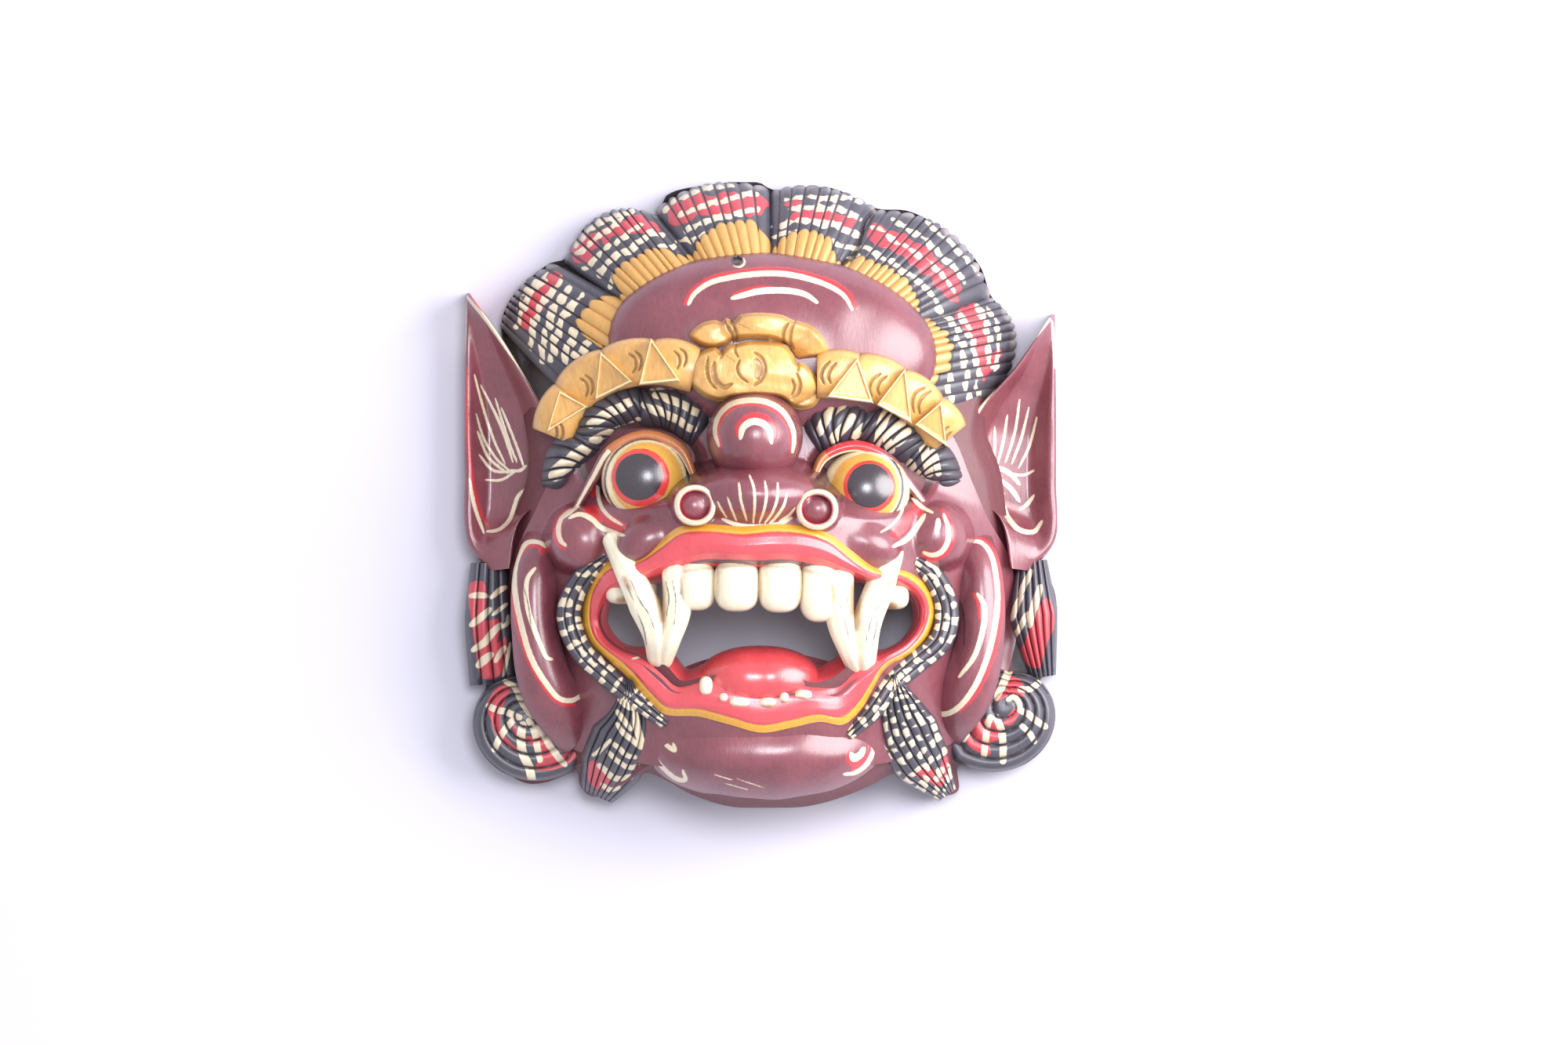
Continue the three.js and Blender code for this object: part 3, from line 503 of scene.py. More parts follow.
def blockShape(u, v):
    angle = 2 * np.pi * u
    hole = ringRadius(np.stack(mouthPoint(ringShares, 0.75), axis=1), angle)
    edge = ringRadius(smoothLine(blockOutline, ringShares, closed=True), angle)
    h = head["hollow"]
    c, s = corners(2 * np.pi * ringShares, h["square"])
    rim = ringRadius(np.stack([h["x"] + h["rx"] * c, h["y"] + h["ry"] * s], axis=1), angle)
    # shares of v: mouth to edge, side, rim and hollow, and past the last the mouth's wall
    topEdge, backEdge, rimEdge, hollowEdge = 0.5, 0.60, 0.68, 0.94
    radius = np.select(
        [v < topEdge, v < backEdge, v < rimEdge, v < hollowEdge],
        [lerp(hole, edge - 1.2, v / topEdge), edge, lerp(edge - 1.0, rim,
            (v - backEdge) / (rimEdge - backEdge)),
         lerp(rim, hole, (v - rimEdge) / (hollowEdge - rimEdge))], hole)
    x, y = middle[0] + radius * np.cos(angle), middle[1] + radius * np.sin(angle)
    roof, reach = hollowTop(x, y)
    crownSide = easeIn(y, 40, 70)
    top = headHeight(x, y) - 3.5 * crownSide - 2.5
    top = top - 5 * easeIn(radius / edge, 0.93, 1.0)
    gouge = 0.45 * np.abs(np.sin(x * 0.5 + 0.6 * noiseField(x, y, 40, 5))) + 0.25 * noiseField(x, y, 12, 6)
    inner = np.maximum(roof - gouge * easeIn(1 - reach, 0, 0.12), 0)
    side = lerp(np.maximum(top, 6.0), 0.8, (v - topEdge) / (backEdge - topEdge))
    z = np.select([v < topEdge, v < backEdge, v < rimEdge, v < hollowEdge],
                  [top, side, 0 * v, inner], lerp(inner, top, (v - hollowEdge) / (1 - hollowEdge)))
    isFront = v < backEdge
    dark = np.where(isFront, -3.0, np.where(v < rimEdge, (v - backEdge - 0.03) * 60, 7))
    face = np.where(isFront & (y < 38) & (np.abs(x) < 96), -3, 7)
    # Dirt and painted shade: a light even darkening over the front, growing inside the hollow towards its
    # rim.
    dirtAndShade = np.where(isFront, 0.25, 0.25 + 0.5 * easeIn(reach, 0.9, 1))
    return x, y, z, {"black": dark, "maroon": face, "dirtAndShade": dirtAndShade}


print("mask: the block")
carved("maskBlock", 480, 150, blockShape, woodFinish, kind="band", crease=40)

# The face

faceEdge = [(0, 52), (30, 50), (55, 40), (72, 24), (80, 6), (86, -8), (95, -25), (98, -50), (90, -77),
            (74, -94),
    (60, -99), (40, -103), (0, -104), (-40, -103), (-58, -100), (-72, -97), (-88, -82), (-97, -50),
    (-95, -25),
    (-86, -5), (-80, 8), (-74, 24), (-60, 40), (-30, 50)]
skinForms = [
    {"x": -2, "y": 0, "z": 66, "rx": 27, "ry": 12.5, "rz": 29, "turn": 0, "reach": 5},  # nose
    {"x": -25, "y": -4, "z": 74, "rx": 9.5, "ry": 9, "rz": 13, "turn": 0, "reach": 3},  # nose wings
    {"x": 21, "y": -5.5, "z": 74, "rx": 9.5, "ry": 9, "rz": 13, "turn": 0, "reach": 3},
    {"x": -43, "y": -17, "z": 62, "rx": 13, "ry": 9.5, "rz": 13, "turn": 0.5, "reach": 3},  # cheeks
    {"x": 38, "y": -18, "z": 62, "rx": 15, "ry": 9.5, "rz": 13, "turn": -0.3, "reach": 3},
    {"x": -68, "y": -17, "z": 46, "rx": 12.5, "ry": 13, "rz": 14.5, "turn": 0, "reach": 3},
    {"x": 66, "y": -16, "z": 46, "rx": 12.5, "ry": 13, "rz": 14.5, "turn": 0, "reach": 3},
]
sockets = [(-46, 12, 26, 17), (42, 8, 26, 17)]  # hollows round the eyes: middle and half widths
skinMarks = {
    "cream": [
        [1.9, (-72.5, -5.5), (-76.3, -9.4), (-77, -13.9), (-76, -17.6), (-74, -19.3)],
        [2.0, (69.1, -7.3), (70.6, -12.2), (70.6, -17.6), (68, -21.8), (64.3, -22.9), (61.3, -21.8)],
        [2.2, (67, -9.2), (66.8, -11.5), (66.1, -14.8)],
        [1.5, (-74.8, -8.5), (-68.8, -3.1), (-65, 2.9)],
        [2.0, (-73, -8.8), (-68.8, -7.3), (-64.3, -9.2), (-61, -12.2), (-56.2, -14.2), (-52, -15.4)],
        [1.5, (-61.6, 9.4), (-62.2, 1.9), (-61, -4), (-57.4, -8.5), (-52.6, -11.5)],
        [1.6, (52.4, 8.2), (55.9, 1.6), (60.1, -4), (65, -6.8)],
        [2.2, (61.9, -7.6), (58.9, -12.2), (55, -16.9), (49.9, -19.6)],
        [1.1, (54.1, -2.5), (52.9, -7), (49.4, -11.5), (45.1, -14.2)],
        [0.9, (-16.6, -2.5), (-14.8, -6.1), (-13, -8.8)], [0.9, (-12.8, -0.8), (-11.2, -5.5), (-9.4, -9.8)],
        [1.1, (-8.5, 4.6), (-7.6, -2.5), (-5.5, -9.8)],
        [1.1, (-4.6, 7.6), (-2.9, 2.9), (-2.5, -4), (-3.1, -10.7)],
        [1.1, (1.3, 5.2), (1.9, 0.4), (1.1, -5.5), (-0.8, -10.7)],
        [1.1, (6.1, 4.6), (6.1, -1.1), (4, -7), (1.3, -10.7)],
        [1.1, (9.8, 1.1), (8.5, -4), (5.5, -8.5), (3.1, -10.9)],
        [1.0, (12.8, -5), (10.3, -7.9), (6.8, -10)],
        [1.9, (-14.8, -9.2), (-8.8, -11.5), (-1.9, -12.2), (5.5, -11.5), (11.5, -8.8)],
    ],
    "red": [
        [4.5, (-60.4, -7), (-55.9, -10.9), (-52, -12.2)], [5.5, (-65.8, -5.5), (-60.4, -8.5)],
        [3.5, (-62.8, 6.5), (-64, -0.1)],
        [4.5, (56.5, -7), (53.5, -12.2), (49.9, -15.8)], [4.0, (58.3, -4.3), (60.1, -7.3)],
        [2.6, (68.5, -5.5), (71.8, -11.5), (71.8, -18.1), (68.5, -22.9), (64.3, -24.4), (60.8, -22.9)],
        [2.4, (-73, -5), (-77.5, -9.4), (-78.1, -13.9), (-77.2, -18.1), (-74.5, -20.6)],
        [3.0, (23.6, 15.4), (31, 17.2), (38.5, 15.4)],
    ],
}


def skinHeight(x, y):
    z = headHeight(x, y)
    for px, py, rx, ry in sockets:
        q = ((x - px) / rx) ** 2 + ((y - py) / ry) ** 2
        z = z - 5.5 * np.maximum(1 - q, 0) ** 0.8
    for form in skinForms:
        c, s = math.cos(form["turn"]), math.sin(form["turn"])
        px, py = (x - form["x"]) * c + (y - form["y"]) * s, (y - form["y"]) * c - (x - form["x"]) * s
        q = (px / form["rx"]) ** 2 + (py / form["ry"]) ** 2
        bump = np.where(q < 1, form["z"] + form["rz"] * np.sqrt(np.maximum(1 - q, 0)),
                        form["z"] - 60 * (np.sqrt(q) - 1))
        z = smoothMax(z, bump, form["reach"])
    return z


def faceShape(u, v):
    angle = 2 * np.pi * u
    hole = ringRadius(np.stack(mouthPoint(ringShares, 0.5), axis=1), angle)
    edge = ringRadius(smoothLine(faceEdge, ringShares, closed=True), angle)
    top = 0.985
    w = clamp(v / top)
    radius = np.where(v < top, lerp(hole, edge, w), lerp(edge, hole, (v - top) / (1 - top)))
    x, y = middle[0] + radius * np.cos(angle), middle[1] + radius * np.sin(angle)
    z = skinHeight(x, y) + 0.25 * noiseField(x, y, 22, 3)
    under = v > top
    z = np.where(under, headHeight(x, y) - 9, z)
    creamField = np.where(under, 5, strokes(x, y, skinMarks["cream"]))
    redField = np.minimum(strokes(x, y, skinMarks["red"]), strokes(x, y, skinMarks["cream"][:2], 3.0) - 0.2)
    # Dark brown in the upper halves of the eye hollows, under the brows: partly the mask's own dark paint,
    # partly painted shade.
    socket = np.full(x.shape, 5.0)
    for px, py, rx, ry in sockets:
        socket = np.minimum(socket, (np.hypot((x - px) / rx, (y - py) / ry) - 0.92) * 14)
    socket = np.where(y > -3, socket, 5)
    # Dirt and painted shade on the plain low skin between the raised forms.
    lowSkinDirtAndShade = clamp(1 - np.abs(z - headHeight(x, y)) / 3) * easeIn(z, 75, 66) * 0.25
    return x, y, z, {"cream": creamField, "red": redField, "socket": socket, "dirtAndShade": lowSkinDirtAndShade}


print("mask: the face")
carved("face", 620, 150, faceShape, skinFinish, kind="band")


def strokesPaint(marks, dirtAndShadeStart=0.9):
    def paint(x, y, reach, angle):
        fields = {layer: strokes(x, y, lines) for layer, lines in marks.items()}
        # dirt and painted shade round the foot of the mound
        fields["dirtAndShade"] = easeIn(reach, dirtAndShadeStart, 1.0) * 0.8
        return fields
    return paint


ballMarks = {
    "cream": [[2.2, (-16.1, 18.4), (-17.6, 23.8), (-16.3, 29.5), (-12.2, 33.8), (-6.5, 35.5), (1.1, 35.2),
               (7.6, 31.9), (11.5, 25.9), (12.4, 20.8), (11.8, 16.1)],
              [2.6, (-7.9, 21.1), (-7, 25.1), (-4, 27.4), (0.1, 27.1), (2.9, 24.4), (3.8, 19.6)]],
    "red": [[2.2, (-15.1, 17.8), (-16.6, 23.8), (-15.4, 28.6), (-11.5, 32.5), (-6.5, 34.4), (1.1, 34),
             (7, 30.8), (10.7, 25.3), (11.5, 16.1)],
            [4.6, (-8.5, 22.6), (-7.6, 25.9), (-4, 28.6), (0.8, 28.1), (4, 24.4), (4.3, 21.4)]],
}
capMarks = {
    # the dark dot is painted shade for the hanging hole, over a shallow dent
    "dark": [[4.6, (-9.4, 89), (-9.2, 89)]],
    "cream": [[0.9, (-7, 90.1), (-6.5, 88), (-8.2, 86.5), (-10.7, 87.1)],
              [2.2, (-27.8, 72.1), (-25.6, 76), (-19.9, 80.2), (-12.4, 82.3), (-1.9, 83.8), (8.5, 83.8),
               (17.6, 82), (25.3, 79.3), (31.3, 75.5), (34.4, 70.3)],
              [2.4, (-11.2, 74.5), (-7.6, 75.5), (-1.9, 77), (4, 77.5), (11.5, 77.2), (16.9, 75.8),
               (21.1, 73)]],
    "red": [[2.6, (-29.2, 72.5), (-26.2, 77.2), (-19.9, 81.5), (-12.4, 83.5), (-1.9, 85), (8.5, 85),
             (17.6, 83.2), (26.6, 80.5), (32.5, 76.6), (35.9, 71)],
            [2.4, (-10.7, 75.8), (-6.5, 77), (-1.1, 78.1), (4, 78.5)]],
}
chinMarks = {
    "cream": [[1.7, (-37.9, -91.3), (-35.9, -95), (-32.9, -96.8), (-33.4, -94.3)],
              [1.9, (-42.8, -94.6), (-40, -100.3), (-35.9, -105.1), (-31.6, -108.1), (-28.9, -108.1),
               (-29.8, -104.5)],
              [1.9, (42.4, -92), (42.1, -98), (39.4, -102.8), (35.5, -105.5), (31.3, -106)],
              [2.6, (34, -98), (34.9, -100), (37.6, -98.5), (38.9, -96.1)],
              [0.5, (-17.8, -106), (-10.9, -108.1)], [0.4, (-9.4, -107.5), (1.1, -111.1)],
              [0.4, (-13.9, -109.3), (-5, -111.8)]],
    "red": [[2.0, (41.5, -92), (41.2, -97.6), (38.5, -101.5), (34.4, -104.5)],
            [1.2, (-37, -90.8), (-34.6, -94)],
            [3.0, (33.1, -97), (34.4, -101.5), (38.5, -99.8)]],
}
mound("browCap", {"x": 4, "y": 55, "z": 38, "rx": 63, "ry": 37, "rz": 25, "turn": -0.07, "around": 480},
      0.62, skinFinish,
      strokesPaint(capMarks, 0.97),
      # a shallow dent at the hanging hole, painted dark as its shade
      extra=lambda x, y, reach, angle: 0.3 * noiseField(x, y, 26,
          8) - 2.2 * easeIn(np.hypot(x + 9.3, y - 88.9), 1.9, 1.2))
mound("browBall", {"x": -2.5, "y": 22, "z": 66, "rx": 18.2, "ry": 17.7, "rz": 26}, 0.32, skinFinish,
      strokesPaint(ballMarks, 0.93), floor=50)
mound("chin", {"x": 1, "y": -89, "z": 34, "rx": 50, "ry": 29.5, "rz": 37, "around": 400}, 0.6, skinFinish,
      strokesPaint(chinMarks, 0.97),
      extra=lambda x, y, reach, angle: 0.3 * noiseField(x, y, 24, 9) - 7 * easeIn(y, -104, -84))

eyes = [
    {"name": "eyeballLeft", "x": -44, "y": 6, "z": 51, "rx": 16.8, "ry": 16.6, "rz": 17,
     "pupil": (-46.4, 6.8), "pupilSize": 8.9, "red": (-45.8, 6.5), "redSize": 11.0, "yellow": (-43.4, 6.1),
     "yellowSize": 13.7,
     "cream": (-43.6, 5.5), "creamSize": 15.7},
    {"name": "eyeballRight", "x": 39.5, "y": 1.5, "z": 51, "rx": 16.8, "ry": 16.2, "rz": 17,
     "pupil": (40.9, 3.4), "pupilSize": 8.4, "red": (40.9, 3.1), "redSize": 9.9, "yellow": (39.4, 2.5),
     "yellowSize": 13.0,
     "cream": (37.9, 2.9), "creamSize": 15.6},
]


def eyePaint(eye):
    def paint(x, y, reach, angle):
        ring = {}
        for layer in ("pupil", "red", "yellow"):
            px, py = eye[layer]
            ring[layer] = np.hypot(x - px, y - py) - eye[layer + "Size"]
        px, py = eye["cream"]
        ring["line"] = np.abs(np.hypot(x - px, y - py) - eye["creamSize"]) - 0.45
        # dirt and painted shade round the foot of the eyeball
        ring["dirtAndShade"] = easeIn(reach, 0.93, 1.0) * 0.6
        return ring
    return paint


for eye in eyes:
    mound(eye["name"], eye, 0.3, eyeFinish, eyePaint(eye), floor=49)


# A ribbon of carved skin along a spine, rounded across, with its own paint.
def ribbon(name, form, cells, paint):
    sag = form["sag"]

    def shape(u, v):
        t = 2 * v - 1
        x, y, z = alongSpine(form["spine"], u, form["halfWidth"], t)
        z = z - sag * np.abs(t) ** 2 - sag * np.abs(2 * u - 1) ** 5
        # dirt and painted shade along the ribbon's edges
        return x, y, z, {"dirtAndShade": easeIn(np.abs(t), 0.85, 1.0) * 0.7, **paint(u, t, x, y)}

    return carved(name, *cells, shape, skinFinish, floor=form.get("floor", 3.0), kind="tube")


lids = [
    ("lidLeftUpper", [[-72, -8, 48], [-64, 6, 52], [-57, 17, 56], [-44, 22.5, 58], [-31, 17.5, 60],
                      [-25, 6, 62]]),
    ("lidRightUpper", [[19, 5, 62], [24, 14.5, 60], [36, 18.5, 59], [48, 13.5, 57], [56, 4, 53],
                       [64, -6, 48]]),
]
for name, spine in lids:
    isLeft = "Left" in name

    def lidPaint(u, t, x, y, isLeft=isLeft):
        inward = u if isLeft else 1 - u
        orange = np.where(inward > 0.38, -1, 3.0)
        return {"orange": np.where(isLeft | (u < 0.22), orange, 3),
                "red": np.where((not isLeft) & (u > 0.2) & (u < 0.55), -1, 3.0),
                "cream": np.where(inward < 0.4, np.abs(t - 0.1) * 2 - 0.8, np.where(t < -0.55, -0.2, 3))}

    ribbon(name, {"spine": spine, "halfWidth": [1.2, 2, 2.2, 2.2, 2.2, 1.2], "sag": 1.8, "floor": 40},
           (110, 12), lidPaint)

jowls = [
    {"name": "jowlLeft", "spine": [[-81, -12, 36], [-86, -30, 43], [-86, -52, 45], [-81, -74, 43],
                                   [-66, -92, 34]],
     "halfWidth": [7, 8.5, 9, 10.5, 12], "sag": 7,
     "cream": [[2.2, (-80.2, -21.1), (-84.5, -18.1), (-89, -18.1), (-92.2, -22.3), (-94, -29.5),
                (-93.5, -38.5), (-91, -50.5), (-87.5, -61.9), (-82.3, -71), (-76.6, -77.5), (-71.8, -78.1),
                (-68.2, -75.8), (-66.5, -73)],
               [2.0, (-86, -27.8), (-88.6, -31), (-89.5, -36.1), (-88.6, -43.9), (-86.5, -50.5),
                (-83.8, -57.1), (-81.5, -61.9), (-79.6, -62.5)],
               [0.7, (-77.8, -41.5), (-76.6, -50.5), (-72.5, -61), (-66.5, -67.3)],
               [0.6, (-63.4, -84.8), (-58, -87.8)]],
     "dark": [[0.4, (-91, -33.1), (-88.6, -41.5), (-87.5, -50.5)]],
     "red": [[2.0, (-81.5, -21.4), (-85.6, -19.1), (-89.8, -19.9), (-95, -29.5), (-94.6, -39.1),
              (-92.2, -51.1), (-88.6, -62.5), (-83.5, -71.5), (-77.2, -79), (-71.2, -80)],
             [2.0, (-83, -22.6), (-85, -19.3), (-87.8, -19.3)]]},
    {"name": "jowlRight", "spine": [[79, -12, 36], [83, -30, 43], [83.5, -52, 45], [78, -74, 43],
                                    [66, -88, 34]],
     "halfWidth": [7, 8.5, 9, 10.5, 12], "sag": 7,
     "cream": [[2.2, (79.3, -17.6), (83.5, -18.1), (87.1, -22.3), (89.2, -31), (89.8, -40), (88.3, -52),
                (85, -64), (80, -74.5), (74, -81.5), (69.1, -83.5), (65, -81.8), (62.5, -77.5),
                (62.2, -74.5)],
               [2.2, (82, -37.6), (84.1, -40.9), (84.8, -46), (83.5, -53.5), (80.5, -61.9), (75.1, -69.1)]],
     "dark": [[0.6, (69.8, -31), (73.3, -36.1), (76.3, -43), (77.2, -50.5), (77, -58.3)],
              [0.4, (70.3, -5), (75.1, -4), (80.5, -5.5)]],
     "red": [[2.4, (80, -16.3), (84.8, -17.6), (88.6, -21.8), (91, -31), (91.3, -40), (89.8, -52),
              (86.5, -64), (81.5, -75.1), (75.1, -82.6)],
             [2.0, (80.5, -37.6), (82.6, -41.5), (83, -47.5)]]},
]
for jowl in jowls:
    def jowlPaint(u, t, x, y, jowl=jowl):
        return {layer: strokes(x, y, jowl[layer]) for layer in ("cream", "red", "dark")}

    ribbon(jowl["name"], jowl, (170, 52), jowlPaint)

for name, px, py in (("nostrilRingLeft", -25, -4), ("nostrilRingRight", 21, -5.6)):
    def nostril(u, v, px=px, py=py):
        a = 2 * np.pi * u
        r = spread([8.2, 7.7, 6.7, 5.6, 5.0, 3.6, 0.0], v)
        z = spread([83, 87.8, 88.6, 87.2, 81, 74, 72.5], v)
        cx, cy = corners(a, 0.95)
        ring = np.abs(r - 7.0) - 1.1
        # dirt and painted shade deep in the nostril
        return px + r * cx, py + r * cy * 0.97, z - (v < 0.35) * 0.4, {
            "cream": np.where(v < 0.6, ring, 3), "red": np.where(r < 6, -1, 1.5),
            "dirtAndShade": easeIn(r, 5.4, 3.5) * 0.9}
    carved(name, 90, 30, lambda u, v, f=nostril: f(u, 1 - v), skinFinish, floor=70, kind="ring")

# The crown

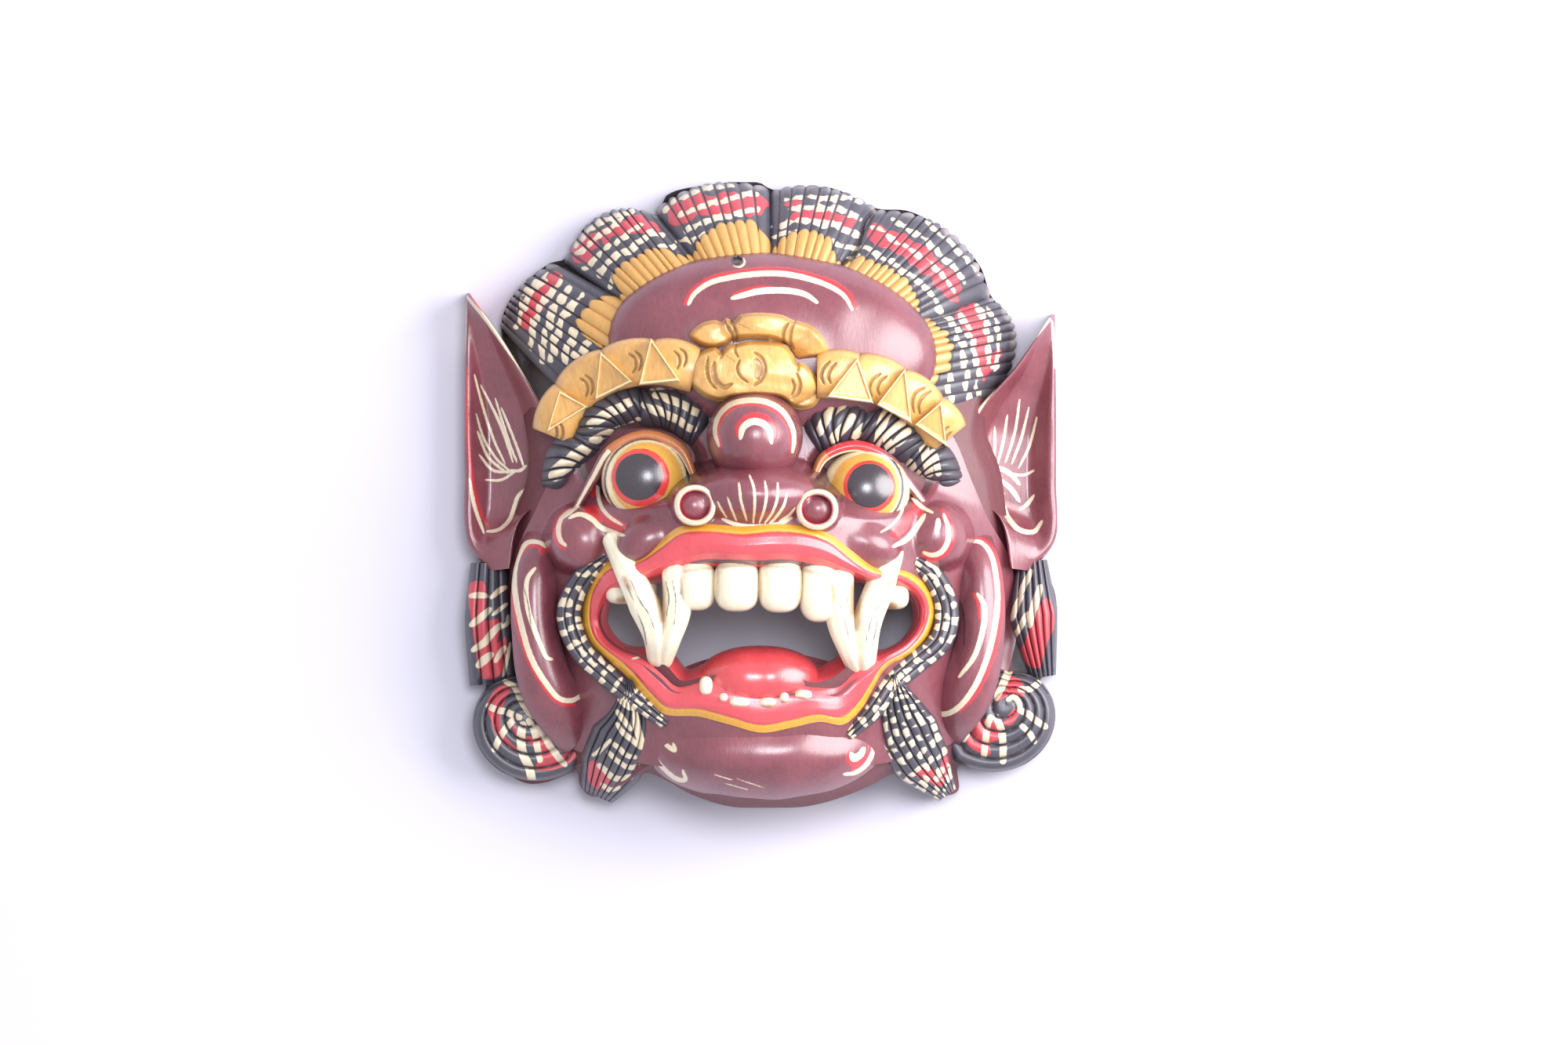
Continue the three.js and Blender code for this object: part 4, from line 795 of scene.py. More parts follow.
crown = {"edge": 14, "root": 42, "belly": 4, "flute": 1.25, "goldStep": 1.5, "notch": 0.035}
crownLocks = [
    {"name": "crownLockA", "inner": [[-66, 28], [-56, 52], [-49, 72]],
     "outer": [[-100, 64], [-94, 78], [-80, 89]], "flutes": 10,
     "rows": [[1.5, (-81.5, 85.6), (-84.1, 83), (-86.8, 80.8), (-89.8, 77.5), (-92, 74), (-93.1, 70.6)],
              [2.2, (-82.3, 82.3), (-85.6, 79.6), (-88, 77), (-89.8, 73), (-91, 70.6), (-92.2, 67),
               (-93.5, 63.4)],
              [2.6, (-76.6, 82.3), (-78.8, 79.3), (-80.8, 76.3), (-83.5, 72.5), (-85.3, 68.8),
               (-86.2, 66.5), (-87.5, 63.1), (-88, 59.5), (-88.3, 55.4)],
              [2.9, (-73.3, 79.6), (-75.5, 76.6), (-77.2, 73.6), (-79.6, 69.8), (-80.8, 65.8), (-82, 62.8),
               (-82.6, 59.5), (-83.2, 55.9), (-83.5, 50.9)],
              [3.0, (-69.1, 76.3), (-71.5, 73.6), (-73.6, 70.3), (-76, 66.5), (-77.2, 62.8), (-78.5, 59.8),
               (-79.3, 56.5), (-80, 50.5)],
              [3.3, (-71, 62.2), (-72.8, 58.6), (-74.2, 55.6), (-74.8, 49.9)],
              [3.2, (-65.8, 58), (-68.8, 54.4), (-71.5, 52)]],
     "red": [[(-79.6, 86), (-76.6, 83.8), (-76.6, 81.5), (-81.1, 77), (-83.2, 72.5), (-86.2, 67),
              (-88.3, 62.2), (-92.2, 65), (-89.8, 71), (-87.5, 76.6), (-83, 82)]],
     "gold": [(-51.4, 76.6), (-57.4, 75.8), (-64.6, 74.5), (-67, 71.8), (-69.1, 68.8), (-70.3, 65.8),
              (-68.8, 61), (-64, 57.4), (-60.4, 55), (-51.4, 55.9)]},
    {"name": "crownLockB", "inner": [[-50, 71], [-37, 81], [-21, 86]],
     "outer": [[-76, 89], [-60, 108], [-38, 106]], "flutes": 11,
     "rows": [[2.1, (-70.6, 95.2), (-68.2, 98.5), (-65.8, 101), (-63.1, 103.3), (-58, 106), (-52.4, 107),
               (-49, 107.5)],
              [2.1, (-70, 92), (-67, 93.5), (-65.2, 95.8), (-63.1, 98), (-60.4, 100.6), (-55.6, 104),
               (-52.4, 106)],
              [2.0, (-68, 86), (-65.2, 87.1), (-63.1, 89.8), (-61.3, 92), (-58.9, 94.3), (-56.5, 96.1),
               (-54.4, 97.6), (-52.4, 98.8), (-49, 101), (-45.4, 102.5)],
              [2.7, (-62.2, 83.5), (-59.8, 86), (-58, 88.3), (-55.9, 90.5), (-53.5, 92), (-51.4, 93.1),
               (-49, 95), (-45.4, 97.3), (-41.9, 99.1), (-37.9, 99.5)],
              [2.7, (-57.8, 79), (-55.9, 82), (-54.4, 84.5)],
              [1.8, (-40, 92.8), (-35.9, 94.6), (-32.9, 95.5)]],
     "red": [[(-72.5, 92), (-70, 95.8), (-67, 98.2), (-64.6, 100.3), (-62.2, 98.5), (-63.4, 94),
              (-65.8, 89.8), (-69.5, 88)],
             [(-62.2, 99.5), (-58.6, 102.5), (-54.4, 103.6), (-50.5, 106.3), (-45.4, 106.6), (-41.9, 104.2),
              (-38.9, 100.6), (-43, 99.5), (-47.9, 99.5), (-51.4, 99.5), (-55.6, 98.2), (-59.8, 95.8)]],
     "gold": [(-52.9, 71.8), (-54.4, 77.8), (-56.2, 84.5), (-52.4, 88.6), (-46.9, 92), (-41.9, 93.8),
              (-36.4, 93.1), (-29.8, 91.6), (-24.4, 89.5), (-19.9, 86)]},
    {"name": "crownLockC", "inner": [[-24, 85.5], [-11, 88.5], [4, 87.5]],
     "outer": [[-41, 109], [-21, 119], [3, 117.5]], "flutes": 9,
     "rows": [[2.0, (-37, 108.5), (-34.6, 110.8), (-31.6, 113.2), (-27.4, 115), (-22.9, 116.8),
               (-17.8, 117.8), (-10.9, 118.3)],
              [2.1, (-31.6, 106), (-28.1, 108.1), (-22.9, 110.2), (-16.9, 111.8), (-10.9, 113.2),
               (-5, 114.1), (-1.6, 114.5)],
              [2.2, (-28.6, 100.6), (-25.1, 102.8), (-19.9, 105.1), (-13.9, 106.3), (-7.9, 107.2),
               (-1.6, 108.1)],
              [2.2, (-27.4, 97), (-23.8, 98.5), (-20.6, 100)], [1.4, (-32.9, 95.8), (-28.6, 97.3)]],
     "red": [[(-35.9, 109), (-31.6, 112), (-25.9, 114.5), (-19.9, 114.5), (-13.9, 115.3), (-6.5, 115.6),
              (0.1, 113.8), (3.1, 112), (-1.1, 106), (-7.9, 106.3), (-16.9, 106.3), (-24.4, 106.3),
              (-29.8, 103), (-34, 102.5)]],
     "gold": [(-25.6, 89.8), (-25.1, 94), (-22.9, 98), (-19.1, 101.8), (-13.9, 104), (-7.9, 104.5),
              (-1.9, 103), (0.8, 99.5), (4.3, 95.8), (5.5, 90.5), (-0.4, 86), (-21.4, 86)]},
    {"name": "crownLockD", "inner": [[3, 87.5], [16, 87], [28.5, 82.5]],
     "outer": [[3, 116], [24, 118], [45, 109]], "flutes": 9,
     "rows": [[1.9, (9.4, 112.6), (14.5, 113.5), (20.6, 113.5), (26.6, 113.5), (31.9, 113), (38.5, 112)],
              [2.4, (9.8, 109), (14.5, 109.3), (20.6, 109.6), (26.6, 109.3), (31.9, 107.8), (37, 105.8)],
              [2.6, (7.3, 102.5), (11.5, 104), (17.6, 104.5), (23.6, 103.6), (28.1, 102.5), (34, 100.3),
               (37.4, 98.8)],
              [1.8, (5, 98.8), (9.8, 99.8), (13.9, 100.3)], [1.8, (26.6, 96.1), (30.1, 95), (35.5, 94)],
              [1.2, (0.4, 101.8), (4.3, 102.5)]],
     "red": [[(9.4, 111.8), (15.8, 112), (15.8, 110.2), (9.4, 110.2)],
             [(9.4, 106), (13.9, 107.8), (20.6, 109.3), (26.6, 108.5), (32.5, 106.6), (36.1, 104.8),
              (32.5, 100.6), (27.1, 103.6), (20.6, 104.8), (13.9, 104.8), (9.4, 104.2)]],
     "gold": [(3.8, 90.5), (5, 94.6), (8.5, 98.5), (13.9, 100.6), (20.6, 100.6), (25.1, 98), (28.3, 90.5),
              (30.1, 86), (20.6, 84.5), (5.5, 86)]},
    {"name": "crownLockE", "inner": [[27, 83.5], [44, 75.5], [56, 63]],
     "outer": [[43, 109], [72, 101], [88, 75]], "flutes": 13,
     "rows": [[1.7, (62.5, 104.5), (68.5, 100), (73.6, 95.2), (79, 89), (83, 83.8)],
              [2.2, (50.5, 104.8), (55, 102.1), (58.9, 100), (62.5, 98), (65.5, 94.6), (68.5, 91.3),
               (71.5, 88.6), (74.5, 85.3), (77.2, 80.8)],
              [1.7, (42.1, 102.5), (47.5, 99.5), (52.9, 96.1), (57.1, 93.5), (61.9, 90.8), (66.1, 86.8),
               (70.3, 81.5), (73.3, 77.2)],
              [2.1, (32.5, 94), (38.5, 94.3), (42.1, 92.8), (47.5, 89.8), (50.5, 88), (53.5, 86.5),
               (55.9, 84.8), (58.3, 82.3), (60.8, 80.2), (63.8, 77.2), (66.8, 73), (68.5, 70)],
              [1.8, (33.1, 90.5), (36.8, 90.5)]],
     "red": [[(40.4, 99.5), (42.1, 103.6), (45.8, 103), (50.5, 100), (55.9, 98.2), (61.3, 95.2), (66.1, 91),
              (70.3, 86.2), (74, 84.5), (76.3, 79), (74, 74.2), (70.3, 74.8), (65.5, 80.8), (60.1, 85.6),
              (54.1, 90.5), (47.5, 94), (41.5, 96.5)]],
     "gold": [(28.3, 85.6), (33.1, 89.2), (39.8, 90.1), (46, 88), (52, 85), (55.9, 81.5), (58.6, 76.6),
              (59.8, 71.2), (60.8, 65.8), (53.5, 63.4), (38.5, 75.5)]},
    {"name": "crownLockF", "inner": [[55, 65], [61, 50], [60, 24]],
     "outer": [[87, 76], [97.5, 57], [83, 28]], "flutes": 13,
     "rows": [[2.3, (69.8, 68.2), (72.8, 66.5), (74.2, 61.6), (76.3, 56.2), (77.2, 52.6), (77.8, 48.4),
               (78.1, 44.2), (78.5, 40.6), (78.8, 35.9), (78.5, 32.2)],
              [2.6, (70, 48.4), (71.2, 46), (71.5, 42.4), (71.8, 38.9), (71.5, 34.6)],
              [2.2, (75.8, 69.5), (78.5, 64), (80.8, 57.4), (82.3, 49.9), (82.6, 45.4), (82.3, 40.9),
               (82.3, 35.9)],
              [2.2, (81.8, 73), (84.8, 68.8), (86.5, 61.9), (87.1, 54.4), (87.5, 48.4)],
              [1.5, (86, 72.5), (88.3, 68.2), (89.8, 63.4), (90.5, 58.6), (90.8, 54.4), (89.8, 49.9),
               (88.6, 46.6)]],
     "red": [[(74.2, 70), (78.8, 73), (82.3, 72.5), (84.8, 67), (86.2, 59.8), (86.8, 52.9), (87.1, 48.4),
              (85, 43.6), (82.6, 48.4), (80.5, 55.6), (77.8, 61.9)],
             [(87.1, 53.9), (90.8, 55), (90.1, 51.4), (87.8, 47.2)]],
     "gold": [(53.5, 65), (57.8, 65.8), (62.5, 68.2), (66.1, 65.8), (70.3, 61.6), (72.5, 57.4),
              (72.5, 50.9), (72.1, 47.2), (67.3, 44.9), (64.3, 39.4), (53.5, 48.4)]},
]


crackLine = [[(45.1, 110.8), (42.1, 107.8), (39.4, 104.5), (38.2, 100.6), (37.4, 96.5), (35.5, 92.2),
              (32.5, 89), (28.3, 86), (24.1, 84.5)]]


def crownShape(lock, u, v):
    a, b = arcLine(lock["inner"], u), arcLine(lock["outer"], u)
    draw = drawFor(lock["name"])
    widths = draw.uniform(0.7, 1.3, lock["flutes"])
    borders = np.concatenate([[0], np.cumsum(widths)]) / widths.sum()
    strand = np.minimum(np.searchsorted(borders, u, side="right") - 1, lock["flutes"] - 1)
    within = (u - borders[strand]) / (borders[strand + 1] - borders[strand])
    ridge = np.abs(np.sin(np.pi * within))
    crest = ridge**0.5
    reach = v * (1 - crown["notch"] * (1 - ridge**0.7) * easeIn(v, 0.7, 1))
    x, y = lerp(a[:, 0], b[:, 0], reach), lerp(a[:, 1], b[:, 1], reach)
    shift = draw.uniform(-0.7, 0.7, (lock["flutes"], 3))
    sx, sy = x + shift[strand, 0], y + shift[strand, 1]
    run = np.hypot(*(arcLine(lock["outer"], clamp(u + 0.02)) - arcLine(lock["outer"], clamp(u - 0.02))).T)
    runIn = np.hypot(*(arcLine(lock["inner"], clamp(u + 0.02)) - arcLine(lock["inner"], clamp(u - 0.02))).T)
    width = lerp(runIn, run, v) / 0.04 * (borders[strand + 1] - borders[strand])
    ridgeGap = (np.abs(within - 0.5) - 0.40) * width
    goldField = area(sx, sy, lock["gold"]) + (1 - crest) * 1.6 - 0.2
    raised = easeIn(goldField, 0.35, -0.35)
    rows = strokes(sx, sy, lock["rows"], tip=0.8) + 0.35 * shift[strand, 2] + 0.5 * noiseField(x, y, 5, 31)
    crack = strokes(x, y, crackLine, 1.1, tip=0.4)
    z = lerp(crown["root"], crown["edge"],
             v) + crown["belly"] * np.sin(np.pi * v) - 5 * np.abs(2 * u - 1) ** 4
    z = z + crown["flute"] * (crest - 1) + crown["goldStep"] * raised - 3.5 * easeIn(v, 0.88, 1.0) ** 2
    z = z - 2.4 * easeIn(crack, 0.4, -0.3)
    cream = np.maximum(rows, ridgeGap)
    red = np.maximum(areas(x, y, lock["red"]) + 0.8 * noiseField(x, y, 7, 33),
                     (np.abs(within - 0.5) - 0.43) * width)
    worn = easeIn(v, 0.88, 0.99) * 0.95 + 0.3 * crest * easeIn(v, 0.45, 0.9) + 0.35 * noiseField(x, y, 12,
        35)
    # dirt and painted shade in the grooves between strands and along the crack
    return x, y, z, {"cream": np.where(goldField < 0.1, 4, cream), "red": np.where(goldField < 0.2, 4, red),
                     "gold": goldField,
                     "dirtAndShade": np.maximum((1 - crest) * 0.75 * (1 - 0.4 * raised), easeIn(crack, 0.5, 0)),
                     "crest": worn * (1 - raised)}


print("mask: the crown")
for lock in crownLocks:
    carved(lock["name"], lock["flutes"] * 16, 76, lambda u, v, k=lock: crownShape(k, u, v), hairFinish)

# The gold work

band = {"half": 8.5, "petal": 2.0, "sag": 3.5, "petals": 4, "plateRise": 3.4}
diadems = [
    {"name": "diademLeft", "spine": [[-79, 22, 44], [-74, 34, 49], [-64, 44, 56], [-51, 49, 62],
                                     [-37, 50, 67], [-25, 47, 71]],
     "plates": [[(-76.6, 39.4), (-81.5, 23.8), (-65.8, 33.4)], [(-61, 54.1), (-63.1, 35.9), (-48.8, 42.8)],
                [(-41.9, 59.2), (-46.4, 41.5), (-30.8, 43)]],
     "cuts": [[0.9, (-80.2, 27.4), (-78.1, 25.6), (-77.8, 22.1), (-78.8, 19.9)],
              [0.9, (-77.8, 28.1), (-75.8, 25.9), (-75.5, 22.6), (-76.3, 20.8)],
              [0.9, (-69.1, 44.2), (-66.8, 42.8), (-65.8, 39.8), (-66.5, 37.4)],
              [0.9, (-67, 45.4), (-64.6, 43.6), (-63.8, 40.4), (-64.6, 37.9)],
              [0.9, (-50.5, 53.5), (-48.1, 51.8), (-47.5, 48.4), (-48.8, 46)],
              [0.9, (-47.9, 54.4), (-45.8, 52.4), (-45.4, 49.4), (-46.4, 46.9)],
              [0.9, (-33.1, 54.4), (-31.3, 52.4), (-31, 49.6), (-31.9, 47.5)],
              [0.9, (-31, 55.4), (-28.9, 53.5), (-28.6, 50.5), (-29.5, 48.4)]]},
    {"name": "diademRight", "spine": [[21, 45, 71], [36, 45, 67], [51, 40, 61], [63, 31, 54], [71, 21, 47]],
     "plates": [[(36.4, 51.8), (24.8, 37), (42.4, 34.6)], [(54.4, 47.9), (43.6, 34), (56.9, 27.1)],
                [(68.2, 35.2), (58, 26.6), (70.3, 18.4)]],
     "cuts": [[1.0, (25.9, 50.5), (23.6, 48.1), (22.6, 44.9), (23.6, 41.9)],
              [1.0, (28.3, 49.9), (26.2, 47.5), (25.3, 44.5), (26.2, 42.1)],
              [1.0, (45.1, 45.8), (42.1, 43.6), (40.9, 40.4), (41.9, 37)],
              [1.0, (47.5, 44.9), (44.9, 42.8), (43.9, 39.8), (44.9, 37.6)],
              [1.0, (61.9, 40.6), (58.3, 38.5), (57.1, 34.9), (57.8, 31)],
              [1.0, (64.3, 39.4), (61, 37), (59.5, 33.8), (60.1, 30.4)],
              [1.0, (71, 25.9), (68.8, 24.1), (68.2, 21.4)],
              [0.9, (72.1, 23.8), (70.3, 22.3), (69.8, 19.6)]]},
]


def diademShape(form, u, v):
    t = 2 * v - 1
    step = u * band["petals"]
    petal = np.sin(np.pi * (step - np.floor(step - 1e-9))) ** 0.6
    x, y, z = alongSpine(form["spine"], u, [band["half"]] * 2, np.where(t > 0, t * (1 + 0.16 * petal), t))
    z = z - band["sag"] * t * t + band["petal"] * petal - 2.5 * np.abs(t) ** 8
    cuts = strokes(x, y, form["cuts"], tip=0.3)
    z = z - 1.1 * easeIn(cuts, 0.35, -0.35)
    # dirt and painted shade in the cut lines, at the band's edges and between petals
    dirtAndShade = easeIn(cuts, 0.5, -0.2) * 0.9 + easeIn(np.abs(t), 0.9, 1.0) * 0.7 + (1 - petal) * 0.5
    return x, y, z, {"dirtAndShade": dirtAndShade, "crest": easeIn(petal, 0.9, 1) * 0.5, "rimHighlight": 3 + 0 * x}


def plateShape(form, outline, u, v):  # a three-cornered plate, from its point down to its foot
    top, left, right = [np.array(p) for p in outline]
    edge = left * (1 - u)[:, None] + right * u[:, None]
    p = top * (1 - v)[:, None] + edge * v[:, None]
    inner = np.minimum(np.minimum(u, 1 - u) * v * 2, np.minimum(v, 1 - v) * 1.3)
    spine = smoothLine(form["spine"], np.linspace(0, 1, 200))
    tip, near, far = [spine[np.argmin(np.hypot(*(spine[:, :2] - q).T)), 2] for q in (top, left, right)]
    z = tip * (1 - v) + (near * (1 - u) + far * u) * v + band["plateRise"]
    z = z + 1.3 - 0.8 * easeIn(inner, 0.08, 0.16) - 1.2 * easeIn(inner, 0.03, 0.0)
    # Painted highlight: the raised rim is coloured pale gold, through both its coat and its crest value.
    rim = easeIn(inner, 0.12, 0.05)
    # dirt and painted shade along the plate's outer edge
    return p[:, 0], p[:, 1], z, {"crest": 0.3 + rim * 0.95, "rimHighlight": 0.9 - rim * 1.6,
                                 "dirtAndShade": easeIn(inner, 0.015, 0.0) * 0.6}


print("mask: the gold work")
for form in diadems:
    carved(form["name"], 220, 52, lambda u, v, f=form: diademShape(f, u, v), goldFinish, kind="tube")
    for n, outline in enumerate(form["plates"]):
        carved(f"{form['name']}Plate{n + 1}", 44, 44, lambda u, v, f=form,
               o=outline: plateShape(f, o, u, v), goldFinish, floor=40)

archOutline = [(-27.4, 60.1), (-25.1, 63.4), (-21.4, 65.5), (-17.2, 66.1), (-15.1, 65.5), (-13.3, 67),
               (-10.9, 65.5), (-8.2, 68), (-3.4, 68.8), (2.5, 68.8), (7.9, 68), (12.2, 66.1), (15.1, 65.5),
               (19.3, 63.8), (22.9, 60.4), (25.3, 56.5), (25.9, 53.9), (22.9, 52), (17.6, 51.1),
               (13.9, 50.2), (10.9, 52.6), (9.4, 56.2), (5.5, 58.3), (-3.4, 59.2), (-10.9, 58.3),
               (-13.9, 56.5), (-19.1, 55.4), (-23.6, 56.9)]
rosetteOutline = [(-26.8, 45.4), (-26.2, 50.2), (-23.2, 53.9), (-19.6, 55.6), (-17.2, 55.6), (-15.4, 54.1),
                  (-12.4, 56.5), (-9.4, 57.1), (-5.8, 58), (1.1, 58.3), (8.5, 57.1), (12.2, 52.9),
                  (13.3, 50.2), (16.1, 49.6), (19.3, 46.6), (21.8, 42.4), (22.3, 37), (19.9, 33.4),
                  (15.1, 32.2), (10.9, 33.4), (7.3, 36.1), (1.1, 37), (-5, 37), (-10.9, 36.4),
                  (-15.4, 35.2), (-19.9, 36.1), (-24.4, 38.9), (-27.1, 41.9)]
archCuts = [[1.1, (-13.9, 65.8), (-12.4, 62.8), (-10.9, 59.8), (-11.5, 57.1)],
            [1.0, (-11.8, 66.8), (-10.3, 63.4), (-9.4, 59.8), (-10, 57.4)],
            [1.3, (10.3, 65.2), (8.5, 62.2), (8.2, 58.6), (9.8, 55.6)],
            [1.3, (12.8, 65.8), (11.2, 62.2), (10.9, 58), (12.2, 55)]]
rosetteCuts = [[1.2, (-20.2, 52), (-20.6, 47.2), (-19.6, 43), (-17.2, 40)],
               [2.0, (-17.8, 50.2), (-18.1, 46.6), (-17.2, 43), (-14.2, 40.6), (-11.2, 41.9)],
               [1.3, (13.3, 46), (14.5, 42.4), (13.9, 38.5), (11.5, 36.1)],
               [1.0, (11.5, 43.6), (12.4, 40.6), (11.2, 37.4)],
               [1.6, (-2.9, 53.9), (0.1, 51.4), (1.1, 47.5), (-0.1, 43.6), (-2.9, 41.2)],
               [3.4, (-2.2, 50.9), (-0.8, 47.9), (-1.6, 44.2)],
               [1.0, (-8.2, 50.9), (-9.2, 47.9), (-8.2, 44.9), (-5.2, 42.4)],
               [1.0, (-15.4, 55.4), (-14.8, 52.9), (-15.8, 51.1)],
               [1.0, (12.8, 51.4), (13.9, 48.4), (13.7, 46.6)],
               [0.9, (-9.4, 57.1), (-10, 54.4), (-8.8, 52)]]


goldDomes = {
    "rosette": [{"x": -3, "y": 46, "rx": 27, "ry": 15, "base": 66, "rise": 12}],
    "goldArch": [{"x": -18, "y": 61, "rx": 11, "ry": 8, "base": 62, "rise": 8},
                 {"x": 1, "y": 64, "rx": 18, "ry": 9, "base": 64, "rise": 10},
                 {"x": 19, "y": 60, "rx": 11, "ry": 9, "base": 62, "rise": 9}],
}


# A gold form of any outline: the outline shrinks towards its middle, and domes swell over it.
def goldForm(name, outline, cuts, floor):
    line = smoothLine(outline, np.linspace(0, 1, 1200, endpoint=False), closed=True)
    centre = line.mean(axis=0)

    def shape(u, v):
        edge = smoothLine(outline, u, closed=True)
        x, y = lerp(centre[0], edge[:, 0], v), lerp(centre[1], edge[:, 1], v)
        z = np.full(x.shape, 60.0)
        for dome in goldDomes[name]:
            q = ((x - dome["x"]) / dome["rx"]) ** 2 + ((y - dome["y"]) / dome["ry"]) ** 2
            z = smoothMax(z, dome["base"] + dome["rise"] * np.sqrt(np.maximum(1 - q, 0)), 3)
        cut = strokes(x, y, cuts, tip=0.3)
        inside = -area(x, y, outline)
        z = z - 5 * easeIn(inside, 2.2, 0.0) ** 1.5 - 1.3 * easeIn(cut, 0.4, -0.5) + 0.35 * noiseField(x, y,
            8, 12)
        # dirt and painted shade in the cut lines and round the edge
        paint = {"dirtAndShade": easeIn(cut, 0.5, -0.3) * 0.8 + easeIn(inside, 0.8, 0.0) * 0.6,
                 "crest": 0.35 + 0.4 * noiseField(x, y, 6, 14)}
        return x, y, z, paint

    carved(name, 300, 64, shape, goldFinish, floor, kind="ring")


goldForm("rosette", rosetteOutline, rosetteCuts, 50)
goldForm("goldArch", archOutline, archCuts, 50)

# The hair

def twistedLock(name, form):  # a lock whose grooves run slantwise across it
    flutes, lean = form["flutes"], form["lean"]

    def shape(u, v):
        t = 2 * v - 1
        shifted = clamp(u + lean * t * (1 - (2 * u - 1) ** 4))
        x, y, z = alongSpine(form["spine"], shifted, form["halfWidth"], t)
        phase = flutes * u
        strand = np.minimum(np.floor(phase), flutes - 1).astype(int)
        crest = np.abs(np.sin(np.pi * phase)) ** 0.6
        z = z - 7 * np.abs(t) ** 2.2 - 6 * np.abs(2 * u - 1) ** 5 + 1.9 * (crest - 1)
        draw = drawFor(name)
        shift = draw.uniform(-0.4, 0.4, (flutes, 2))
        rows = strokes(x + shift[strand, 0], y + shift[strand, 1], form["rows"], tip=0.8)
        width = form["length"] / flutes
        cream = np.maximum(rows - 0.35, (np.abs(phase - strand - 0.5) - 0.37) * width)
        if form.get("lights"):
            cream = np.minimum(cream, strokes(x, y, form["lights"]))
        # dirt and painted shade in the grooves and along the lock's edges
        return x, y, z, {"cream": cream, "dirtAndShade": (1 - crest) * 1.0 + easeIn(np.abs(t), 0.9, 1) * 0.5,
                         "crest": crest * 0.35}

    return carved(name, flutes * 18, 60, shape, hairFinish, kind="tube")


browLocks = {
    "browLockOuterLeft": {"spine": [[-79, 2, 42], [-75, 14, 45], [-65, 23, 49]], "halfWidth": [5, 7, 7],
                          "flutes": 6, "lean": -0.12,
        "length": 27, "rows": [[4.4, (-79, 7.6), (-76, 10), (-73, 12.4), (-70, 15.4), (-66.8, 17.8)]]},
    "browLockMiddleLeft": {"spine": [[-67, 19, 49], [-59, 32, 54], [-45, 36, 57]], "halfWidth": [6, 8, 7.5],
                           "flutes": 8, "lean": -0.12,
        "length": 31, "rows": [[3.2, (-65, 26.6), (-61.3, 28.9), (-57.8, 31.3), (-53.5, 33.1),
                                (-49.6, 34.9)],
        [2.4, (-64, 20.6), (-59.8, 22.6), (-55.9, 23.8), (-52.6, 25.1), (-49.6, 26.2), (-46.6, 27.8)]],
        "lights": [[3.6, (-63.4, 20.8), (-61.6, 21.4)]]},
    "browLockInnerLeft": {"spine": [[-47, 33, 57], [-34, 33, 60], [-22, 24, 61]], "halfWidth": [7, 8, 7],
                          "flutes": 8, "lean": -0.12,
        "length": 31, "rows": [[2.4, (-40.6, 37.6), (-37, 37), (-34.4, 35.9), (-30.4, 34.4), (-25.6, 31.9),
                                (-23.6, 31)],
        [2.4, (-44.2, 33.8), (-42.1, 33.1), (-38.9, 31.6), (-34.9, 29.8), (-31.3, 28.1), (-28.1, 25.9),
         (-25.3, 24.8)]],
        "lights": [[1.8, (-41.9, 40), (-36.4, 40.9), (-29.8, 40.4)]]},
    "browLockInnerRight": {"spine": [[18, 21, 60], [27, 27, 60], [40, 27, 58]], "halfWidth": [8, 9, 8],
                           "flutes": 6, "lean": 0.13,
        "length": 30, "rows": [[3.0, (22.1, 23.6), (25.1, 29.5), (28.1, 32.9), (30.8, 34.4)],
                               [3.0, (27.1, 20.8), (29.8, 24.1), (32.9, 27.1), (34.6, 29.5)],
        [2.6, (35.2, 22.6), (37.6, 24.8), (39.4, 26.6)]]},
    "browLockMiddleRight": {"spine": [[37, 28, 58], [49, 24, 56], [60, 16, 51]], "halfWidth": [7, 9, 8],
                            "flutes": 7, "lean": 0.13,
        "length": 31, "rows": [[3.0, (43.9, 19.6), (45.1, 25.3), (46.9, 30.4), (48.1, 31.6)],
                               [3.0, (49, 17.2), (47.9, 22.6), (50.9, 25.6), (53.5, 27.4)],
        [2.6, (51.1, 19.6), (54.1, 22.6), (55.9, 24.4)]]},
    "browLockOuterRight": {"spine": [[57, 17, 51], [66, 12, 47], [72, 2, 42]], "halfWidth": [7, 8, 6],
                           "flutes": 6, "lean": 0.13,
        "length": 25, "rows": [[3.0, (56.5, 12.4), (57.4, 9.4), (60.1, 6.5)],
                               [3.0, (61.6, 19.1), (62.8, 12.4), (63.8, 8.2)],
        [2.0, (65.2, 16.3), (66.5, 11.8), (67.3, 8.2)]]},
}
for name, form in browLocks.items():
    twistedLock(name, form)


